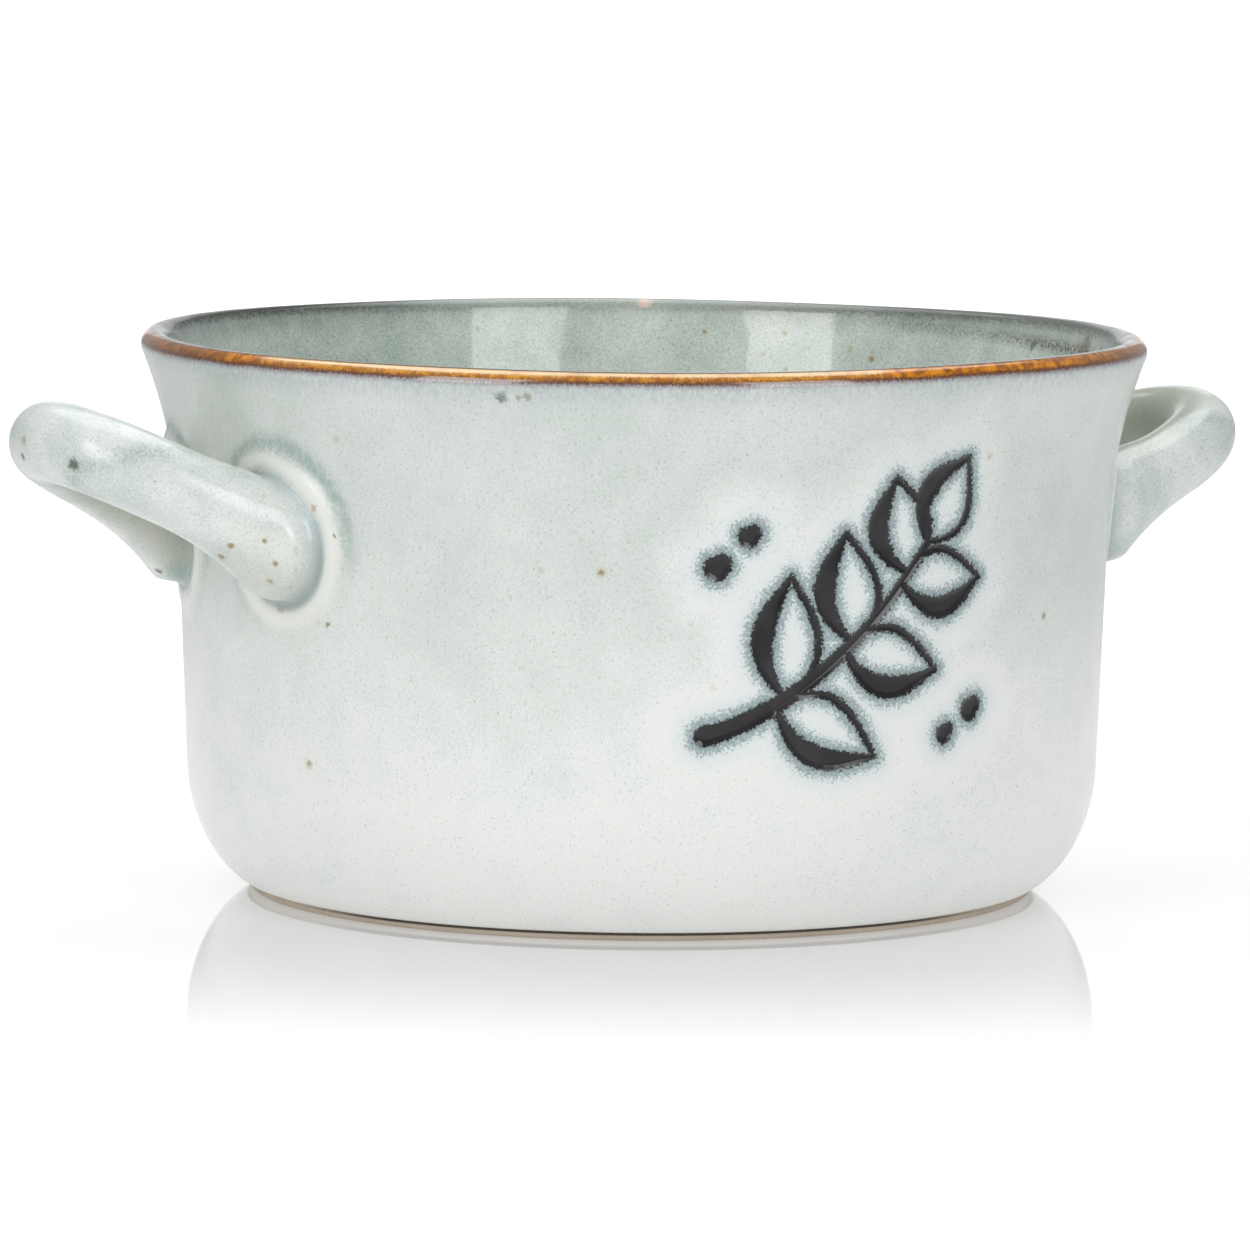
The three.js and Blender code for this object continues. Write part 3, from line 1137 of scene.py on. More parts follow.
class Tree:
    """Short calls for wiring shader nodes; each step returns its output socket."""

    def __init__(self, tree: bpy.types.NodeTree) -> None:
        """Takes the node tree to wire."""
        self.tree = tree
        self.places: dict[Triple, Socket] = {}

    def node(self, kind: str, **settings: object) -> bpy.types.Node:
        """Adds a node of a kind with some of its settings."""
        made = self.tree.nodes.new(kind)
        for key, value in settings.items():
            setattr(made, key, value)
        return made

    def feed(self, socket: Socket, value: object) -> None:
        """Links a socket to another, or sets its value."""
        if isinstance(value, Socket):
            self.tree.links.new(value, socket)
        elif value is not None:
            socket.default_value = value

    def math(self, operation: str, a: object, b: object = None, clamp: bool = False) -> Socket:
        """One arithmetic step on one or two values."""
        made = self.node("ShaderNodeMath", operation=operation, use_clamp=clamp)
        self.feed(made.inputs[0], a)
        self.feed(made.inputs[1], b)
        return made.outputs[0]

    def plus(self, *terms: object) -> Socket:
        """Sum of values."""
        return reduce(lambda a, b: self.math("ADD", a, b), terms)

    def times(self, *terms: object) -> Socket:
        """Product of values."""
        return reduce(lambda a, b: self.math("MULTIPLY", a, b), terms)

    def minus(self, a: object, b: object) -> Socket:
        """Difference of two values."""
        return self.math("SUBTRACT", a, b)

    # The mix node has its sockets for values at 2 and 3, and those for colours at 6 and 7.
    def mix(self, share: object, a: object, b: object) -> Socket:
        """Mixes two colours."""
        made = self.node("ShaderNodeMix", data_type="RGBA", blend_type="MIX", clamp_factor=True)
        self.feed(made.inputs[0], share)
        self.feed(made.inputs[6], a)
        self.feed(made.inputs[7], b)
        return made.outputs[2]

    def blend(self, share: object, a: object, b: object) -> Socket:
        """Mixes two values."""
        made = self.node("ShaderNodeMix", data_type="FLOAT", clamp_factor=True)
        self.feed(made.inputs[0], share)
        self.feed(made.inputs[2], a)
        self.feed(made.inputs[3], b)
        return made.outputs[0]

    def span(self, value: object, low: float, high: float, to_low: object = 0.0,
             to_high: object = 1.0) -> Socket:
        """Maps a range smoothly on to another, and stops at its ends."""
        made = self.node("ShaderNodeMapRange", interpolation_type="SMOOTHSTEP", clamp=True)
        for socket, number in zip(made.inputs[:5], (value, low, high, to_low, to_high)):
            self.feed(socket, number)
        return made.outputs[0]

    def place(self, stretch: Triple = (1, 1, 1)) -> Socket:
        """Object coordinates, stretched along the axes."""
        if stretch not in self.places:
            made = self.node("ShaderNodeMapping")
            self.feed(made.inputs["Vector"], self.node("ShaderNodeTexCoord").outputs["Object"])
            self.feed(made.inputs["Scale"], stretch)
            self.places[stretch] = made.outputs[0]
        return self.places[stretch]

    def noise(self, size_mm: float, detail: float, stretch: Triple = (1, 1, 1)) -> Socket:
        """Noise round one half with features of about a size."""
        made = self.node("ShaderNodeTexNoise")
        self.feed(made.inputs["Vector"], self.place(stretch))
        self.feed(made.inputs["Scale"], 1 / (size_mm * MM))
        self.feed(made.inputs["Detail"], detail)
        return made.outputs[0]

    def jitter(self, size_mm: float, detail: float, reach: float) -> Socket:
        """Noise round zero that swings by about half a reach to each side."""
        return self.times(self.minus(self.noise(size_mm, detail), 0.5), reach)

    def value(self, name: str) -> Socket:
        """A number stored on the points of the piece."""
        return self.node("ShaderNodeAttribute", attribute_name=name).outputs["Fac"]


def new_group(name: str, inputs: dict[str, str], outputs: dict[str, str],
              wire: Callable[[Tree, dict, dict], None]) -> bpy.types.NodeTree:
    """Makes a shader node group.

    Args:
        name: Name of the group.
        inputs: Socket kinds by input name.
        outputs: Socket kinds by output name.
        wire: Wires the group from its input sockets to its output sockets.

    Returns:
        The group.
    """
    group = bpy.data.node_groups.new(name, "ShaderNodeTree")
    for sockets, way in ((inputs, "INPUT"), (outputs, "OUTPUT")):
        for label, kind in sockets.items():
            group.interface.new_socket(label, in_out=way, socket_type=kind)
    tree = Tree(group)
    source = tree.node("NodeGroupInput")
    sink = tree.node("NodeGroupOutput")
    wire(tree, {s.name: s for s in source.outputs}, {s.name: s for s in sink.inputs})
    return group


FLOAT = "NodeSocketFloat"
COLOUR = "NodeSocketColor"
# Size of the cells that hold one speck each, where a finish gives no other.
SPECK_CELL_MM = 6.5


def wire_mottle(tree: Tree, given: dict[str, Socket], gives: dict[str, Socket]) -> None:
    """Cloudy reactive glaze: blotches, fine grain and dark flecks between two colours."""
    cloud_mm, patch_mm, grain_mm = 24, 5, 0.32
    swell_mm, pit_mm, pit_share = 7, 0.9, 0.06
    fleck_colour = srgb(122, 118, 100)
    patch = tree.noise(patch_mm, 3)
    patches = tree.times(tree.minus(patch, 0.5), 0.7)
    shift = tree.plus(tree.jitter(cloud_mm, 3, 1.1), patches, tree.jitter(grain_mm, 2, 1.5))
    depth = tree.math("ADD", given["Depth"], tree.times(shift, given["Variation"]), True)
    colour = tree.mix(depth, given["Pale"], given["Deep"])
    dark = tree.times(tree.span(tree.noise(grain_mm, 1), 0.64, 0.76), given["Flecks"])
    tree.feed(gives["Colour"], tree.mix(dark, colour, fleck_colour))
    pits = tree.times(tree.noise(pit_mm, 2), pit_share)
    tree.feed(gives["Height"], tree.plus(tree.noise(swell_mm, 1), pits))
    tree.feed(gives["Roughness"], tree.span(patch, 0.3, 0.7, 0.12, 0.24))


def wire_specks(tree: Tree, given: dict[str, Socket], gives: dict[str, Socket]) -> None:
    """Scattered iron specks of up to a millimetre, one to a cell, with a soft edge."""
    ragged_mm, ragged_reach, size_reach = 0.5, 0.4, 0.6
    cells = tree.node("ShaderNodeTexVoronoi", feature="F1")
    tree.feed(cells.inputs["Vector"], tree.place())
    tree.feed(cells.inputs["Scale"], tree.math("DIVIDE", 1 / MM, given["Cell"]))
    pick = tree.node("ShaderNodeSeparateColor")
    tree.feed(pick.inputs[0], cells.outputs["Color"])
    away = tree.times(cells.outputs["Distance"], given["Cell"])
    ragged = tree.plus(away, tree.times(tree.noise(ragged_mm, 2), ragged_reach))
    scale = tree.math("POWER", tree.math("DIVIDE", given["Cell"], SPECK_CELL_MM), 0.5)
    edge = tree.math("DIVIDE", tree.minus(ragged, tree.times(pick.outputs[1], size_reach)), scale)
    chosen = tree.math("GREATER_THAN", pick.outputs[0], given["Sparse"])
    tree.feed(gives["Core"], tree.times(tree.span(edge, 0.32, 0.0), chosen))
    tree.feed(gives["Edge"], tree.times(tree.span(edge, 0.8, 0.1), chosen))


def wire_iron(tree: Tree, given: dict[str, Socket], gives: dict[str, Socket]) -> None:
    """Iron-brown lip on the outside: dark crest, amber band with cream that is partly a painted highlight,
    ragged purple lower edge and streaks.
    """
    honey, toffee = srgb(214, 144, 32), srgb(164, 98, 16)
    orange, chestnut = srgb(220, 138, 4), srgb(150, 86, 4)
    back, blot, cream = srgb(92, 50, 10), srgb(88, 48, 10), srgb(230, 192, 132)
    crest_line, lower_edge, purple = srgb(78, 48, 30), srgb(98, 56, 32), srgb(140, 124, 132)
    crest = given["Crest"]
    thick = tree.span(tree.plus(given["Depth"], tree.jitter(6, 2, 0.9)), 0.3, 0.7)
    edge = tree.plus(tree.times(tree.noise(11, 2), 0.5), tree.noise(0.26, 3, (1, 1, 0.8)))
    drop = tree.plus(crest, tree.minus(edge, 0.75))
    cloud = tree.span(tree.noise(1.3, 3), 0.35, 0.65)
    amber = tree.mix(thick, tree.mix(cloud, honey, toffee), tree.mix(cloud, orange, chestnut))
    amber = tree.mix(tree.span(given["Depth"], 1.0, 2.0, 0.0, 0.6), amber, back)
    amber = tree.mix(tree.span(tree.noise(0.7, 2), 0.5, 0.72, 0.0, 0.6), amber, blot)
    # Cream in the upper band where the iron is thin: partly iron breaking thin over the round of the lip,
    # partly a painted highlight along it.
    thin_and_highlight = tree.span(tree.noise(5, 3), 0.3, 0.6, 0.4, 0.85)
    thin_and_highlight = tree.times(thin_and_highlight, tree.span(drop, 0.75, 0.35), tree.minus(1.0, thick))
    amber = tree.mix(thin_and_highlight, amber, cream)
    band = tree.mix(tree.span(crest, 0.0, 0.2), crest_line, amber)
    band = tree.mix(tree.span(drop, 0.8, 1.3), band, lower_edge)
    tree.feed(gives["Colour"], tree.mix(tree.span(drop, 1.3, 1.8), band, purple))
    tree.feed(gives["Mask"], tree.span(drop, 2.3, 1.2))
    streak = tree.span(tree.noise(0.5, 2, (1, 1, 0.35)), 0.36, 0.7)
    veil = tree.plus(tree.times(streak, 0.65), 0.35)
    tree.feed(gives["Streaks"], tree.times(veil, tree.span(crest, 5.6, 1.2)))


@dataclass(frozen=True)
class Groups:
    """Shader node groups that several finishes share."""

    mottle: bpy.types.NodeTree
    specks: bpy.types.NodeTree
    iron: bpy.types.NodeTree

    @staticmethod
    def make() -> "Groups":
        """Builds each group once."""
        mottle = new_group(
            "cloudy_glaze",
            {"Pale": COLOUR, "Deep": COLOUR, "Depth": FLOAT, "Variation": FLOAT, "Flecks": FLOAT},
            {"Colour": COLOUR, "Height": FLOAT, "Roughness": FLOAT},
            wire_mottle,
        )
        specks = new_group(
            "iron_specks", {"Sparse": FLOAT, "Cell": FLOAT}, {"Core": FLOAT, "Edge": FLOAT}, wire_specks,
        )
        iron = new_group(
            "iron_lip",
            {"Crest": FLOAT, "Depth": FLOAT},
            {"Colour": COLOUR, "Mask": FLOAT, "Streaks": FLOAT},
            wire_iron,
        )
        return Groups(mottle, specks, iron)


@dataclass(frozen=True)
class Spot:
    """A single spot in the glaze: place and radius in millimetres, colour and strength."""

    place: Triple
    radius: float
    colour: Colour
    share: float


@dataclass(frozen=True)
class Cloud:
    """A cloudy glaze: colours where it lies thin and thick, how much it varies, and its flecks."""

    thin: Colour
    thick: Colour
    variation: float
    flecks: float


PALE_CLOUD = Cloud(srgb(229, 231, 228), srgb(178, 192, 185), 0.52, 0.27)
LINER_CLOUD = Cloud(srgb(216, 223, 215), srgb(148, 164, 157), 0.8, 0.3)
BASE_CLOUD = Cloud(srgb(222, 226, 221), srgb(178, 194, 188), 0.8, 0.4)
# Depth of the glazes at the lip, outside and inside, and what the tone, partly painted shade, adds inside.
LIP_DEPTH = 0.49
LINER_DEPTH = 0.25
TONE_DEPTH = 0.45


@dataclass(frozen=True)
class Finish:
    """A finish: a material with a shader and a surface texture."""

    name: str
    groups: Groups
    speck_edge: Colour = srgb(176, 160, 118)
    speck_core: Colour = srgb(122, 108, 62)
    streak: Colour = srgb(160, 172, 180)
    stain_wide: Colour = srgb(80, 88, 84)
    stain_edge: Colour = srgb(44, 46, 40)
    bump_mm: float = 0.05

    def make(self) -> bpy.types.Material:
        """Builds the material."""
        material = bpy.data.materials.new(self.name)
        material.use_nodes = True
        self.wire(Tree(material.node_tree), material.node_tree.nodes["Principled BSDF"])
        return material

    def wire(self, tree: Tree, shader: bpy.types.Node) -> None:
        """Wires the nodes of the finish to its shader."""
        raise NotImplementedError

    def use(self, tree: Tree, group: bpy.types.NodeTree, **values: object) -> dict[str, Socket]:
        """Places a group with its own values; returns its outputs by name."""
        made = tree.node("ShaderNodeGroup", node_tree=group)
        for label, value in values.items():
            tree.feed(made.inputs[label], value)
        return {s.name: s for s in made.outputs}

    def cloudy(self, tree: Tree, cloud: Cloud, depth: object) -> dict[str, Socket]:
        """Places the cloudy glaze at a depth; returns its outputs by name."""
        return self.use(tree, self.groups.mottle, Pale=cloud.thin, Deep=cloud.thick, Depth=depth,
                        Variation=cloud.variation, Flecks=cloud.flecks)

    def surface(self, tree: Tree, shader: bpy.types.Node, colour: Socket, roughness: Socket,
                height: Socket) -> None:
        """Feeds the shader a colour, a roughness and, through a bump, a height.

        Args:
            tree: The tree to wire.
            shader: The shader to feed.
            colour: Base colour.
            roughness: Roughness of the face.
            height: Relief, as a share of the bump's depth.
        """
        bump = tree.node("ShaderNodeBump")
        tree.feed(bump.inputs["Strength"], 1.0)
        tree.feed(bump.inputs["Distance"], self.bump_mm * MM)
        tree.feed(bump.inputs["Height"], height)
        tree.feed(shader.inputs["Base Color"], colour)
        tree.feed(shader.inputs["Roughness"], roughness)
        tree.feed(shader.inputs["Normal"], bump.outputs[0])

    def speckle(self, tree: Tree, colour: Socket, sparse: object, cell_mm: float = SPECK_CELL_MM) -> Socket:
        """Adds iron specks to a colour; returns the colour."""
        specks = self.use(tree, self.groups.specks, Sparse=sparse, Cell=cell_mm)
        colour = tree.mix(tree.times(specks["Edge"], 0.45), colour, self.speck_edge)
        return tree.mix(tree.times(specks["Core"], 0.65), colour, self.speck_core)

    def spotted(self, tree: Tree, colour: Socket, spots: Sequence[Spot]) -> Socket:
        """Adds single spots with a ragged edge to a colour; returns the colour."""
        ragged = tree.jitter(0.5, 3, 1.8)
        for spot in spots:
            gap = tree.node("ShaderNodeVectorMath", operation="DISTANCE")
            tree.feed(gap.inputs[0], tree.place())
            tree.feed(gap.inputs[1], tuple(v * MM for v in spot.place))
            away = tree.plus(tree.math("DIVIDE", gap.outputs["Value"], spot.radius * MM), ragged)
            colour = tree.mix(tree.span(away, 1.3, 0.4, 0.0, spot.share), colour, spot.colour)
        return colour

    def lip_edge(self, tree: Tree, colour: Socket, crest: Socket) -> Socket:
        """Draws the iron lip and the streaks under it over a colour; returns the colour."""
        iron = self.use(tree, self.groups.iron, Crest=crest, Depth=tree.value("amber"))
        colour = tree.mix(tree.times(iron["Streaks"], 0.7), colour, self.streak)
        return tree.mix(iron["Mask"], colour, iron["Colour"])

    def stained(self, tree: Tree, colour: Socket, below: Socket) -> Socket:
        """Darkens the inside of the lip where iron ran over it.

        Args:
            tree: The tree to wire.
            colour: Colour of the glaze.
            below: Distance below the crest in millimetres.

        Returns:
            The colour with a wide soft stain and a narrow dark edge.
        """
        dark = tree.value("stain")
        ragged = tree.times(tree.noise(2.2, 3, (1, 1, 0.5)), 3.2)
        wide = tree.span(tree.plus(below, ragged), 6.4, 2.0, 0.0, 0.6)
        narrow = tree.times(tree.minus(dark, 0.5), 1.1)
        edge = tree.span(tree.plus(below, tree.jitter(0.5, 3, 1.6), narrow), 2.05, 0.6)
        colour = tree.mix(tree.times(wide, dark), colour, self.stain_wide)
        return tree.mix(tree.times(edge, dark), colour, self.stain_edge)


@dataclass(frozen=True)
class PaleGlaze(Finish):
    """Pale outside coat of wall and handles: white where it ran thin, blue-grey where it pooled, with
    painted shade on the handles' loops and roots.
    """

    handle_thick: Colour = srgb(172, 190, 185)
    handle_variation: float = 0.8
    hollow: Colour = srgb(186, 204, 210)
    # Olive-grey of the painted shade on the inner side of the loops.
    inner: Colour = srgb(156, 160, 141)
    # Dark teal of glaze pooled in the crease at each root's lower side, partly painted shade there.
    pool: Colour = srgb(112, 132, 132)
    ridge: Colour = srgb(231, 232, 227)
    halo: Colour = srgb(134, 158, 154)
    iron_tint: Colour = srgb(186, 190, 176)
    sparse: float = 0.87
    iron_sparse: float = 0.05
    iron_cell_mm: float = 2.0
    stroke_halo: Colour = srgb(196, 214, 217)
    stroke_edge: Colour = srgb(104, 126, 130)
    # Near black for the strokes, and a greyer purple that is a painted sheen on them.
    ink_and_sheen: tuple[Colour, Colour] = (srgb(14, 13, 14), srgb(36, 33, 35))
    spots: tuple[Spot, ...] = (
        Spot((-88.3, -10.6, 61.5), 0.95, srgb(84, 90, 76), 0.9),
        Spot((-91.2, -0.3, 61.7), 0.6, srgb(100, 98, 76), 0.85),
        Spot((-91.4, -1.2, 63.9), 0.7, srgb(170, 164, 130), 0.7),
        # Broad blue-green spot under the rear left root: partly glaze pooled there, partly painted shade
        # under the root.
        Spot((-62.6, 12.4, 44.0), 3.0, srgb(140, 162, 154), 0.55),
        Spot((-65.7, 14.3, 44.1), 0.7, srgb(92, 94, 84), 0.85),
        Spot((-60.1, -24.0, 56.0), 0.6, srgb(186, 156, 124), 0.7),
        Spot((-61.2, -16.0, 42.0), 0.65, srgb(172, 160, 126), 0.6),
        Spot((-45.5, -49.9, 72.0), 0.85, srgb(96, 102, 76), 0.85),
        Spot((-43.8, -51.4, 72.0), 0.45, srgb(140, 148, 130), 0.7),
        Spot((-42.9, -52.3, 72.2), 0.6, srgb(148, 138, 112), 0.8),
    )

    def wire(self, tree: Tree, shader: bpy.types.Node) -> None:
        """Wires the nodes of the finish to its shader."""
        crest, sprig, grip = tree.value("crest"), tree.value("sprig"), tree.value("grip")
        relief, iron = tree.value("relief"), tree.value("iron")
        glaze = self.use(tree, self.groups.mottle, Pale=PALE_CLOUD.thin, Flecks=PALE_CLOUD.flecks,
                         Deep=tree.mix(grip, PALE_CLOUD.thick, self.handle_thick),
                         Depth=self.depth(tree, crest, sprig, grip),
                         Variation=tree.blend(grip, PALE_CLOUD.variation, self.handle_variation))
        colour = tree.mix(tree.span(relief, 0.0, -0.8, 0.0, 0.4), glaze["Colour"], self.hollow)
        # Painted shade on the inner side of the loops.
        colour = tree.mix(tree.times(tree.value("inner"), 0.7), colour, self.inner)
        # Glaze pooled in the crease at the roots' lower side, partly painted shade.
        colour = tree.mix(tree.times(tree.value("pool"), 0.7), colour, self.pool)
        colour = tree.mix(tree.span(relief, -0.1, 0.95), colour, self.ridge)
        uneven = tree.span(tree.noise(0.5, 3), 0.34, 0.66, 0.15, 0.55)
        colour = tree.mix(tree.times(tree.value("halo"), uneven), colour, self.halo)
        colour = self.speckle(tree, colour, self.sparse)
        colour = tree.mix(tree.times(iron, 0.4), colour, self.iron_tint)
        colour = self.speckle(tree, colour, tree.blend(iron, 1.0, self.iron_sparse), self.iron_cell_mm)
        colour = self.pressed(tree, self.spotted(tree, colour, self.spots), sprig)
        rough = tree.plus(glaze["Roughness"], tree.times(grip, 0.04))
        self.surface(tree, shader, self.lip_edge(tree, colour, crest), rough, glaze["Height"])

    def depth(self, tree: Tree, crest: Socket, sprig: Socket, grip: Socket) -> Socket:
        """How deeply the coat lies, with painted shade added on the right handle's tube.

        Args:
            tree: The tree to wire.
            crest: Distance below the crest of the lip in millimetres.
            sprig: Distance to the sprig's strokes in millimetres.
            grip: Share of handle, from 0 on the wall to 1 on the tube.

        Returns:
            The depth: more under the lip, at collars and in valleys, less near the sprig, and more as
                painted shade on the right handle's tube.
        """
        uneven = tree.span(tree.noise(1.4, 3), 0.35, 0.65, 0.25, 0.9)
        pooled = tree.times(tree.value("halo"), uneven)
        wall = tree.plus(tree.times(tree.span(crest, 64, 14), LIP_DEPTH), pooled)
        wall = tree.minus(wall, tree.times(tree.span(sprig, 8.8, 1.0), 0.42))
        valley = tree.times(tree.span(tree.value("relief"), -0.1, -0.9), 0.4)
        blotch = tree.span(tree.noise(7, 4), 0.38, 0.66, 0.2, 0.52)
        # The right handle's tube is darkened here as painted shade.
        return tree.blend(grip, wall, tree.plus(blotch, valley, tree.value("deep")))

    def pressed(self, tree: Tree, colour: Socket, sprig: Socket) -> Socket:
        """Inks the pressed strokes, with a painted sheen on their black, a ragged edge and a speckled halo
        that fades to blue.

        Args:
            tree: The tree to wire.
            colour: Colour of the glaze.
            sprig: Distance to the sprig's strokes in millimetres.

        Returns:
            The colour with the strokes.
        """
        jitter = tree.jitter(0.34, 2, 3.4)
        colour = tree.mix(tree.span(sprig, 4.2, 0.2, 0.0, 0.55), colour, self.stroke_halo)
        colour = tree.mix(tree.span(tree.plus(sprig, jitter), 1.7, 0.5, 0.0, 0.7), colour, self.stroke_edge)
        near = tree.plus(sprig, tree.times(jitter, 0.4))
        # The strokes vary between near black and a greyer purple, which is a painted sheen.
        ink_and_sheen = tree.mix(tree.span(tree.noise(9, 2), 0.42, 0.6), *self.ink_and_sheen)
        return tree.mix(tree.span(near, 0.34, -0.05), colour, ink_and_sheen)


@dataclass(frozen=True)
class LinerGlaze(Finish):
    """Inside coat: grey-green, with a dark edge just under the lip and iron specks."""

    run: Colour = srgb(84, 86, 68)
    run_start: float = 0.67
    run_slope: float = 2.46
    run_half: float = 1.6
    sparse: float = 0.6
    fine_sparse: float = 0.72
    fine_cell_mm: float = 2.8
    bump_mm: float = 0.06
    spots: tuple[Spot, ...] = (
        Spot((63.1, -9.7, 72.3), 2.2, srgb(84, 82, 62), 0.6),
        Spot((63.4, 5.4, 71.8), 0.9, srgb(92, 96, 78), 0.7),
    )

    def wire(self, tree: Tree, shader: bpy.types.Node) -> None:
        """Wires the nodes of the finish to its shader."""
        below = tree.times(tree.value("crest"), -1.0)
        upper = tree.span(below, 40, 3, 0.05, LINER_DEPTH)
        # The tone darkens the inside away from the back; on the left this is painted shade.
        glaze = self.cloudy(tree, LINER_CLOUD, tree.plus(upper, tree.times(tree.value("tone"), TONE_DEPTH)))
        colour = self.spotted(tree, self.trail(tree, glaze["Colour"], below), self.spots)
        colour = self.speckle(tree, colour, self.sparse)
        colour = self.speckle(tree, colour, self.fine_sparse, self.fine_cell_mm)
        rough = tree.times(glaze["Roughness"], 0.35)
        self.surface(tree, shader, self.stained(tree, colour, below), rough, glaze["Height"])

    def trail(self, tree: Tree, colour: Socket, below: Socket) -> Socket:
        """Speckled run of iron that drifts down the far right of the inside.

        Args:
            tree: The tree to wire.
            colour: Colour of the glaze.
            below: Distance below the crest in millimetres.

        Returns:
            The colour with the run.
        """
        swing = tree.value("swing")
        middle = tree.minus(self.run_start, tree.times(swing, self.run_slope))
        gap = tree.math("ABSOLUTE", tree.minus(below, middle))
        ends = tree.times(tree.span(swing, -0.44, -0.7), tree.span(swing, -1.55, -1.35))
        ends = tree.times(ends, tree.span(swing, -0.8, -1.25, 0.55, 1.4))
        grain = tree.span(tree.noise(0.4, 3), 0.38, 0.62, 0.2, 0.75)
        return tree.mix(tree.times(tree.span(gap, self.run_half, 0.0), ends, grain), colour, self.run)


@dataclass(frozen=True)
class IronGlaze(Finish):
    """Lip coat: iron-brown outside, dark grey-green inside, with one chip of bare pink clay."""

    chip: Spot = Spot((29.0, 57.9, 75.1), 1.15, srgb(226, 200, 184), 0.7)
    coat_roughness: float = 0.08

    def wire(self, tree: Tree, shader: bpy.types.Node) -> None:
        """Wires the nodes of the finish to its shader."""
        crest, amber = tree.value("crest"), tree.value("amber")
        pale = self.cloudy(tree, PALE_CLOUD, LIP_DEPTH)
        outside = self.lip_edge(tree, pale["Colour"], crest)
        # The tone darkens the inside of the lip away from the back; on the left this is painted shade.
        depth = tree.plus(LINER_DEPTH, tree.times(tree.value("tone"), TONE_DEPTH))
        liner = self.cloudy(tree, LINER_CLOUD, depth)
        inside = self.stained(tree, liner["Colour"], tree.times(crest, -1.0))
        colour = tree.mix(tree.span(crest, 0.2, -0.1), outside, inside)
        chipped = self.spotted(tree, colour, (self.chip,))
        self.surface(tree, shader, chipped, pale["Roughness"], pale["Height"])
        thick = tree.math("MINIMUM", amber, 1.0)
        iron = self.use(tree, self.groups.iron, Crest=crest, Depth=amber)
        gloss = tree.times(iron["Mask"], tree.span(crest, 0.1, 0.35), tree.blend(thick, 0.85, 0.4))
        tree.feed(shader.inputs["Coat Weight"], gloss)
        tree.feed(shader.inputs["Coat Roughness"], self.coat_roughness)
        matt = tree.times(tree.value("stain"), tree.span(crest, 0.4, 0.0))
        matt = tree.math("MAXIMUM", matt, tree.times(thick, 0.45))
        tree.feed(shader.inputs["Specular IOR Level"], tree.blend(matt, 0.5, 0.03))


@dataclass(frozen=True)
class PlainGlaze(Finish):
    """Coat on the recess under the floor."""

    depth: float = 0.45
    sparse: float = 0.7
    bump_mm: float = 0.06

    def wire(self, tree: Tree, shader: bpy.types.Node) -> None:
        """Wires the nodes of the finish to its shader."""
        glaze = self.cloudy(tree, BASE_CLOUD, self.depth)
        colour = self.speckle(tree, glaze["Colour"], self.sparse)
        self.surface(tree, shader, colour, glaze["Roughness"], glaze["Height"])


@dataclass(frozen=True)
class BareClay(Finish):
    """Fired stoneware without glaze: warm grey, matt and sandy, with a painted shadow line under the glaze
    edge.
    """

    light: Colour = srgb(192, 180, 164)
    dark: Colour = srgb(168, 154, 138)
    grit: Colour = srgb(140, 122, 106)
    # Colour of the painted shadow under the glaze edge, and the heights that it spans.
    seam: Colour = srgb(70, 62, 52)
    foot_shadow_height: Point = (0.62, 0.8)
    bump_mm: float = 0.08

    def wire(self, tree: Tree, shader: bpy.types.Node) -> None:
        """Wires the nodes of the finish to its shader."""
        sand = tree.noise(0.5, 3)
        colour = tree.mix(tree.noise(8, 3), self.light, self.dark)
        colour = tree.mix(tree.span(sand, 0.6, 0.75, 0.0, 0.5), colour, self.grit)
        # Painted shadow: a dark line on the clay just under the glaze edge, darkest at the front and the
        # back.
        line = tree.times(tree.span(tree.value("height"), *self.foot_shadow_height), tree.value("seam"))
        rough = tree.span(sand, 0.3, 0.7, 0.7, 0.9)
        self.surface(tree, shader, tree.mix(line, colour, self.seam), rough, sand)


@dataclass(frozen=True)
class SoftBox:
    """A soft box that faces the bowl: angles from the camera and above the floor, size in metres."""

    name: str
    swing_deg: float
    lift_deg: float
    size: Point
    radiance: float


@dataclass(frozen=True)
class Glow:
    """A white studio surface: its matt face, its glow and mirror, and the glow that lights other things."""

    matt: float
    near: float
    far: float
    mirror: float
    unseen: Point


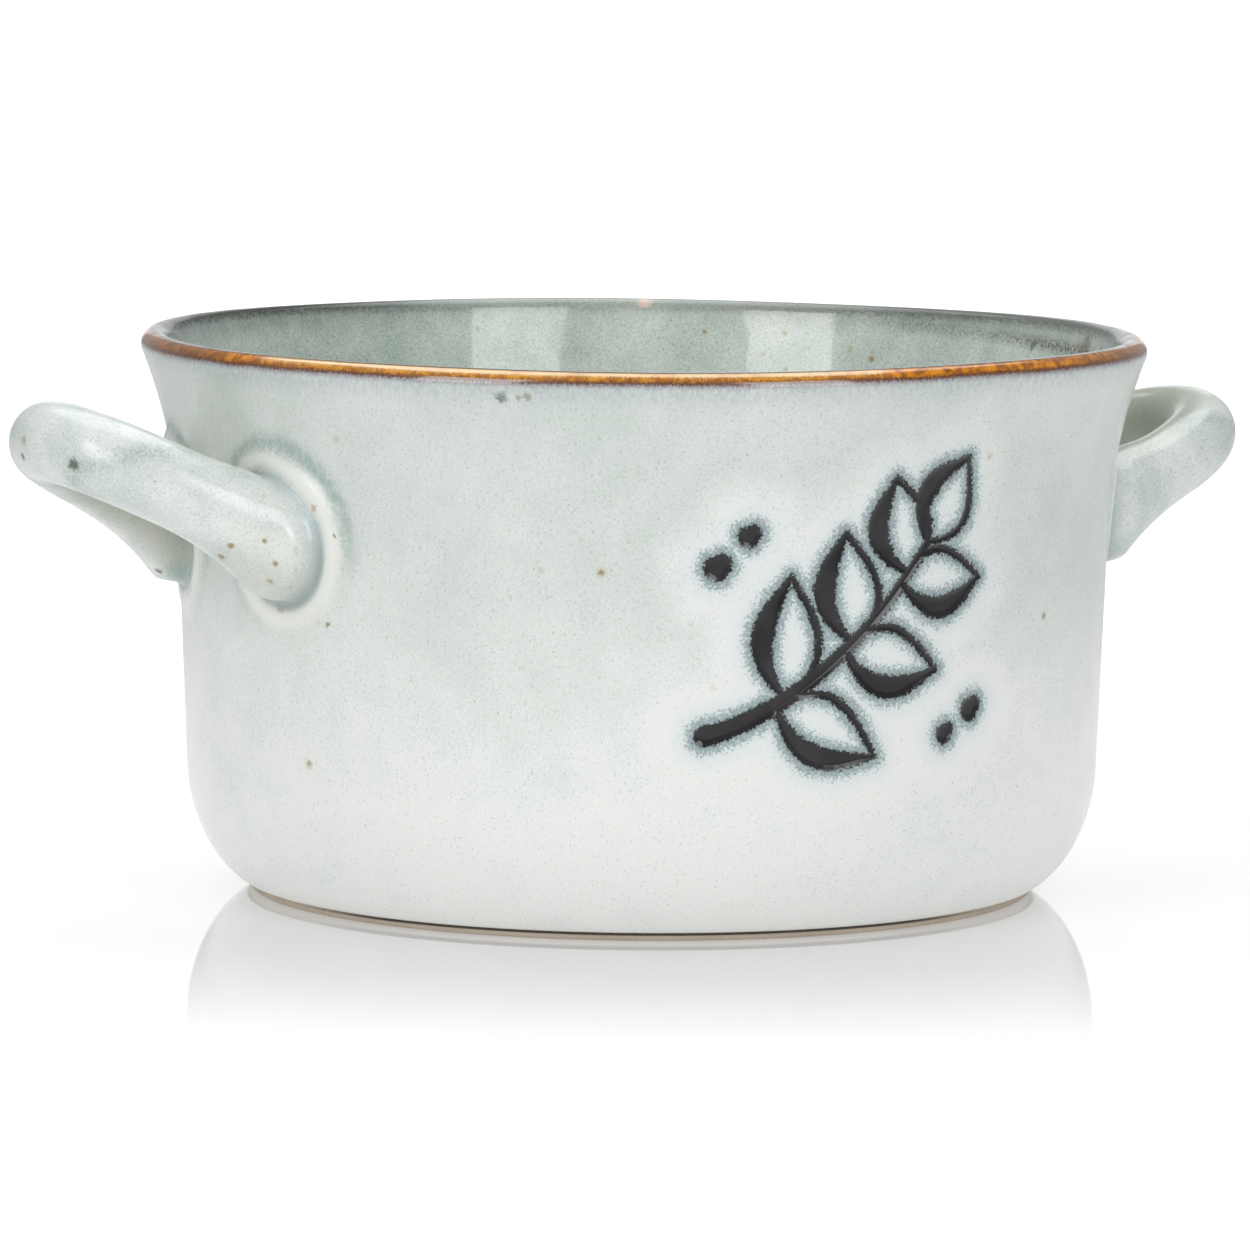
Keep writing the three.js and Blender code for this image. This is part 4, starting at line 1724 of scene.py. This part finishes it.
@dataclass
class Studio:
    """White floor, soft boxes and the camera of the photograph."""

    target_height: float = 37.7
    distance: float = 1156.0
    azimuth_deg: float = -26.6
    elevation_deg: float = 6.18
    roll_deg: float = 0.45
    image_px: float = 1250.0
    focal_px: float = 8483.0
    target_px: Point = (642.6, 610.1)
    sensor_mm: float = 36.0
    clip_m: Point = (0.01, 100.0)
    floor_m: float = 8.0
    floor_cuts: int = 8
    card_m: float = 1.0
    card_away_m: float = 2.4
    lamp_away_m: float = 1.3
    world_strength: float = 0.42
    glow_span: Point = (0.1, 0.9)
    unseen_span: Point = (0.1, 0.4)
    mirror_span: Point = (0.175, 0.08)
    mirror_roughness: float = 0.03
    floor_glow: Glow = Glow(matt=0.55, near=0.48, far=0.88, mirror=0.52, unseen=(0.78, 0.08))
    card_glow: Glow = Glow(matt=0.5, near=0.98, far=0.98, mirror=0.0, unseen=(1.0, 1.0))
    soft_boxes: tuple[SoftBox, ...] = (
        SoftBox("soft_box_right", 36, 24, (0.5, 0.8), 3.95),
        SoftBox("soft_box_left", -41, 24, (0.5, 0.8), 4.4),
        SoftBox("soft_box_back", 180, 66, (1.3, 1.1), 2.5),
    )

    def way(self, swing_deg: float, lift_deg: float) -> Vector:
        """Direction from the bowl, by angles to the right of the camera and above the floor."""
        a, e = math.radians(self.azimuth_deg + swing_deg), math.radians(lift_deg)
        return Vector((math.sin(a) * math.cos(e), -math.cos(a) * math.cos(e), math.sin(e)))

    def axes(self) -> tuple[Vector, Vector, Vector]:
        """Right, up and back of the camera, with its roll."""
        a, r = math.radians(self.azimuth_deg), math.radians(self.roll_deg)
        back = self.way(0.0, self.elevation_deg)
        right = Vector((math.cos(a), math.sin(a), 0))
        up = back.cross(right)
        return right * math.cos(r) + up * math.sin(r), up * math.cos(r) - right * math.sin(r), back

    def camera(self) -> None:
        """Places the camera where the photograph was taken from."""
        right, up, back = self.axes()
        data = bpy.data.cameras.new("photo_camera")
        data.sensor_width = self.sensor_mm
        data.lens = self.sensor_mm * self.focal_px / self.image_px
        data.shift_x = (self.image_px / 2 - self.target_px[0]) / self.image_px
        data.shift_y = (self.target_px[1] - self.image_px / 2) / self.image_px
        data.clip_start, data.clip_end = self.clip_m
        obj = bpy.data.objects.new("photo_camera", data)
        bpy.context.collection.objects.link(obj)
        spot = Vector((0, 0, self.target_height * MM)) + back * self.distance * MM
        turn = Matrix((right, up, back)).transposed().to_4x4()
        obj.matrix_world = Matrix.Translation(spot) @ turn
        bpy.context.scene.camera = obj

    def soft_box(self, box: SoftBox) -> None:
        """Adds a soft box, with power for its brightness and size.

        Args:
            box: The soft box.
        """
        way = self.way(box.swing_deg, box.lift_deg)
        lamp = bpy.data.lights.new(box.name, "AREA")
        lamp.shape = "RECTANGLE"
        lamp.size, lamp.size_y = box.size
        lamp.energy = box.radiance * math.pi * box.size[0] * box.size[1]
        obj = bpy.data.objects.new(box.name, lamp)
        bpy.context.collection.objects.link(obj)
        obj.location = way * self.lamp_away_m + Vector((0, 0, self.target_height * MM))
        obj.rotation_euler = way.to_track_quat("Z", "Y").to_euler()

    def world(self) -> None:
        """Plain even light, white where the surroundings are seen."""
        world = bpy.data.worlds.new("white_room")
        bpy.context.scene.world = world
        world.use_nodes = True
        tree = Tree(world.node_tree)
        ground = world.node_tree.nodes["Background"]
        seen = tree.node("ShaderNodeLightPath").outputs["Is Camera Ray"]
        tree.feed(ground.inputs["Color"], (1, 1, 1, 1))
        tree.feed(ground.inputs["Strength"], tree.blend(seen, self.world_strength, 1.0))

    def glowing(self, name: str, look: Glow) -> bpy.types.Material:
        """White material with a glow of its own and a mirror that fades away from the bowl.

        Args:
            name: Name of the material.
            look: Its matt face, glow and mirror.

        Returns:
            The material.
        """
        material = bpy.data.materials.new(name)
        material.use_nodes = True
        tree = Tree(material.node_tree)
        material.node_tree.nodes.remove(material.node_tree.nodes["Principled BSDF"])
        output = material.node_tree.nodes["Material Output"]
        length = tree.node("ShaderNodeVectorMath", operation="LENGTH")
        tree.feed(length.inputs[0], tree.place())
        away = length.outputs["Value"]
        seen = tree.node("ShaderNodeLightPath").outputs["Is Camera Ray"]
        face = tree.node("ShaderNodeBsdfDiffuse")
        tree.feed(face.inputs["Color"], (look.matt, look.matt, look.matt, 1))
        glow = tree.node("ShaderNodeEmission")
        strength = tree.span(away, *self.glow_span, look.near, look.far)
        share = tree.blend(seen, tree.span(away, *self.unseen_span, *look.unseen), 1.0)
        tree.feed(glow.inputs["Strength"], tree.times(strength, share))
        white = tree.node("ShaderNodeAddShader")
        tree.feed(white.inputs[0], face.outputs[0])
        tree.feed(white.inputs[1], glow.outputs[0])
        gloss = tree.node("ShaderNodeBsdfGlossy")
        tree.feed(gloss.inputs["Roughness"], self.mirror_roughness)
        both = tree.node("ShaderNodeMixShader")
        mirror = tree.span(away, *self.mirror_span, 0.0, look.mirror)
        tree.feed(both.inputs[0], tree.times(mirror, seen))
        tree.feed(both.inputs[1], white.outputs[0])
        tree.feed(both.inputs[2], gloss.outputs[0])
        tree.feed(output.inputs["Surface"], both.outputs[0])
        return material

    def floor(self) -> None:
        """White floor that keeps a faint shadow, with a mirror image of the bowl near its foot."""
        deselect_all()
        cuts = self.floor_cuts
        bpy.ops.mesh.primitive_grid_add(x_subdivisions=cuts, y_subdivisions=cuts, size=self.floor_m)
        obj = bpy.context.object
        obj.name = "studio_floor"
        obj.data.materials.append(self.glowing("white_floor", self.floor_glow))

    def card(self) -> None:
        """White card far behind the bowl, which the floor's mirror shows."""
        way = -self.way(0.0, 0.0)
        deselect_all()
        bpy.ops.mesh.primitive_plane_add(size=self.card_m)
        obj = bpy.context.object
        obj.name = "white_card"
        turn = way.to_track_quat("-Z", "Y").to_matrix().to_4x4()
        spot = Matrix.Translation(way * self.card_away_m + Vector((0, 0, self.card_m / 2)))
        obj.data.transform(spot @ turn)
        obj.data.materials.append(self.glowing("white_card", self.card_glow))

    def build(self) -> None:
        """Sets up the whole studio."""
        bpy.context.scene.view_settings.view_transform = "Standard"
        self.camera()
        self.world()
        self.floor()
        self.card()
        for box in self.soft_boxes:
            self.soft_box(box)


def dress(obj: bpy.types.Object, material: bpy.types.Material) -> None:
    """Gives a piece its finish and reports it.

    Args:
        obj: The finished piece.
        material: Its finish.
    """
    obj.data.materials.clear()
    obj.data.materials.append(material)
    obj.data.calc_loop_triangles()
    log.info("%s: %d triangles, %s", obj.name, len(obj.data.loop_triangles), material.name)


def main() -> None:
    """Builds the bowl piece by piece, dresses it and sets up the studio."""
    logging.basicConfig(level=logging.INFO, format="%(name)s: %(message)s")
    shape, handle = PotShape(), HandleShape()
    groups = Groups.make()
    pale = PaleGlaze("pale_glaze", groups).make()
    clay = BareClay("bare_clay", groups).make()
    dress(ClayBody("turned_clay_body", shape, PLAIN_FACETS, ("clay_body",), Slot.CLAY).build(), clay)
    coat = OuterCoat("outer_coat", shape, FINE_FACETS, ("outer_glaze",), Slot.PALE, handle=handle)
    dress(coat.build(), pale)
    inner = InnerCoat("inner_coat", shape, FINE_FACETS, ("inner_glaze",), Slot.LINER)
    dress(inner.build(), LinerGlaze("liner_glaze", groups).make())
    rim = RimCoat("rim_coat", shape, FINE_FACETS, ("rim_glaze",), Slot.IRON)
    dress(rim.build(), IronGlaze("iron_lip_glaze", groups).make())
    base = BaseCoat("base_coat", shape, PLAIN_FACETS, ("base_glaze",), Slot.PALE)
    dress(base.build(), PlainGlaze("plain_base_glaze", groups).make())
    for side in Side:
        label = side.name.lower()
        nodes = (f"{label}_handle", f"{label}_front_collar", f"{label}_rear_collar")
        dress(LoopHandle(f"{label}_glazed_handle", side, shape, handle, nodes).build(), pale)
    Studio().build()


if __name__ == "__main__":
    main()
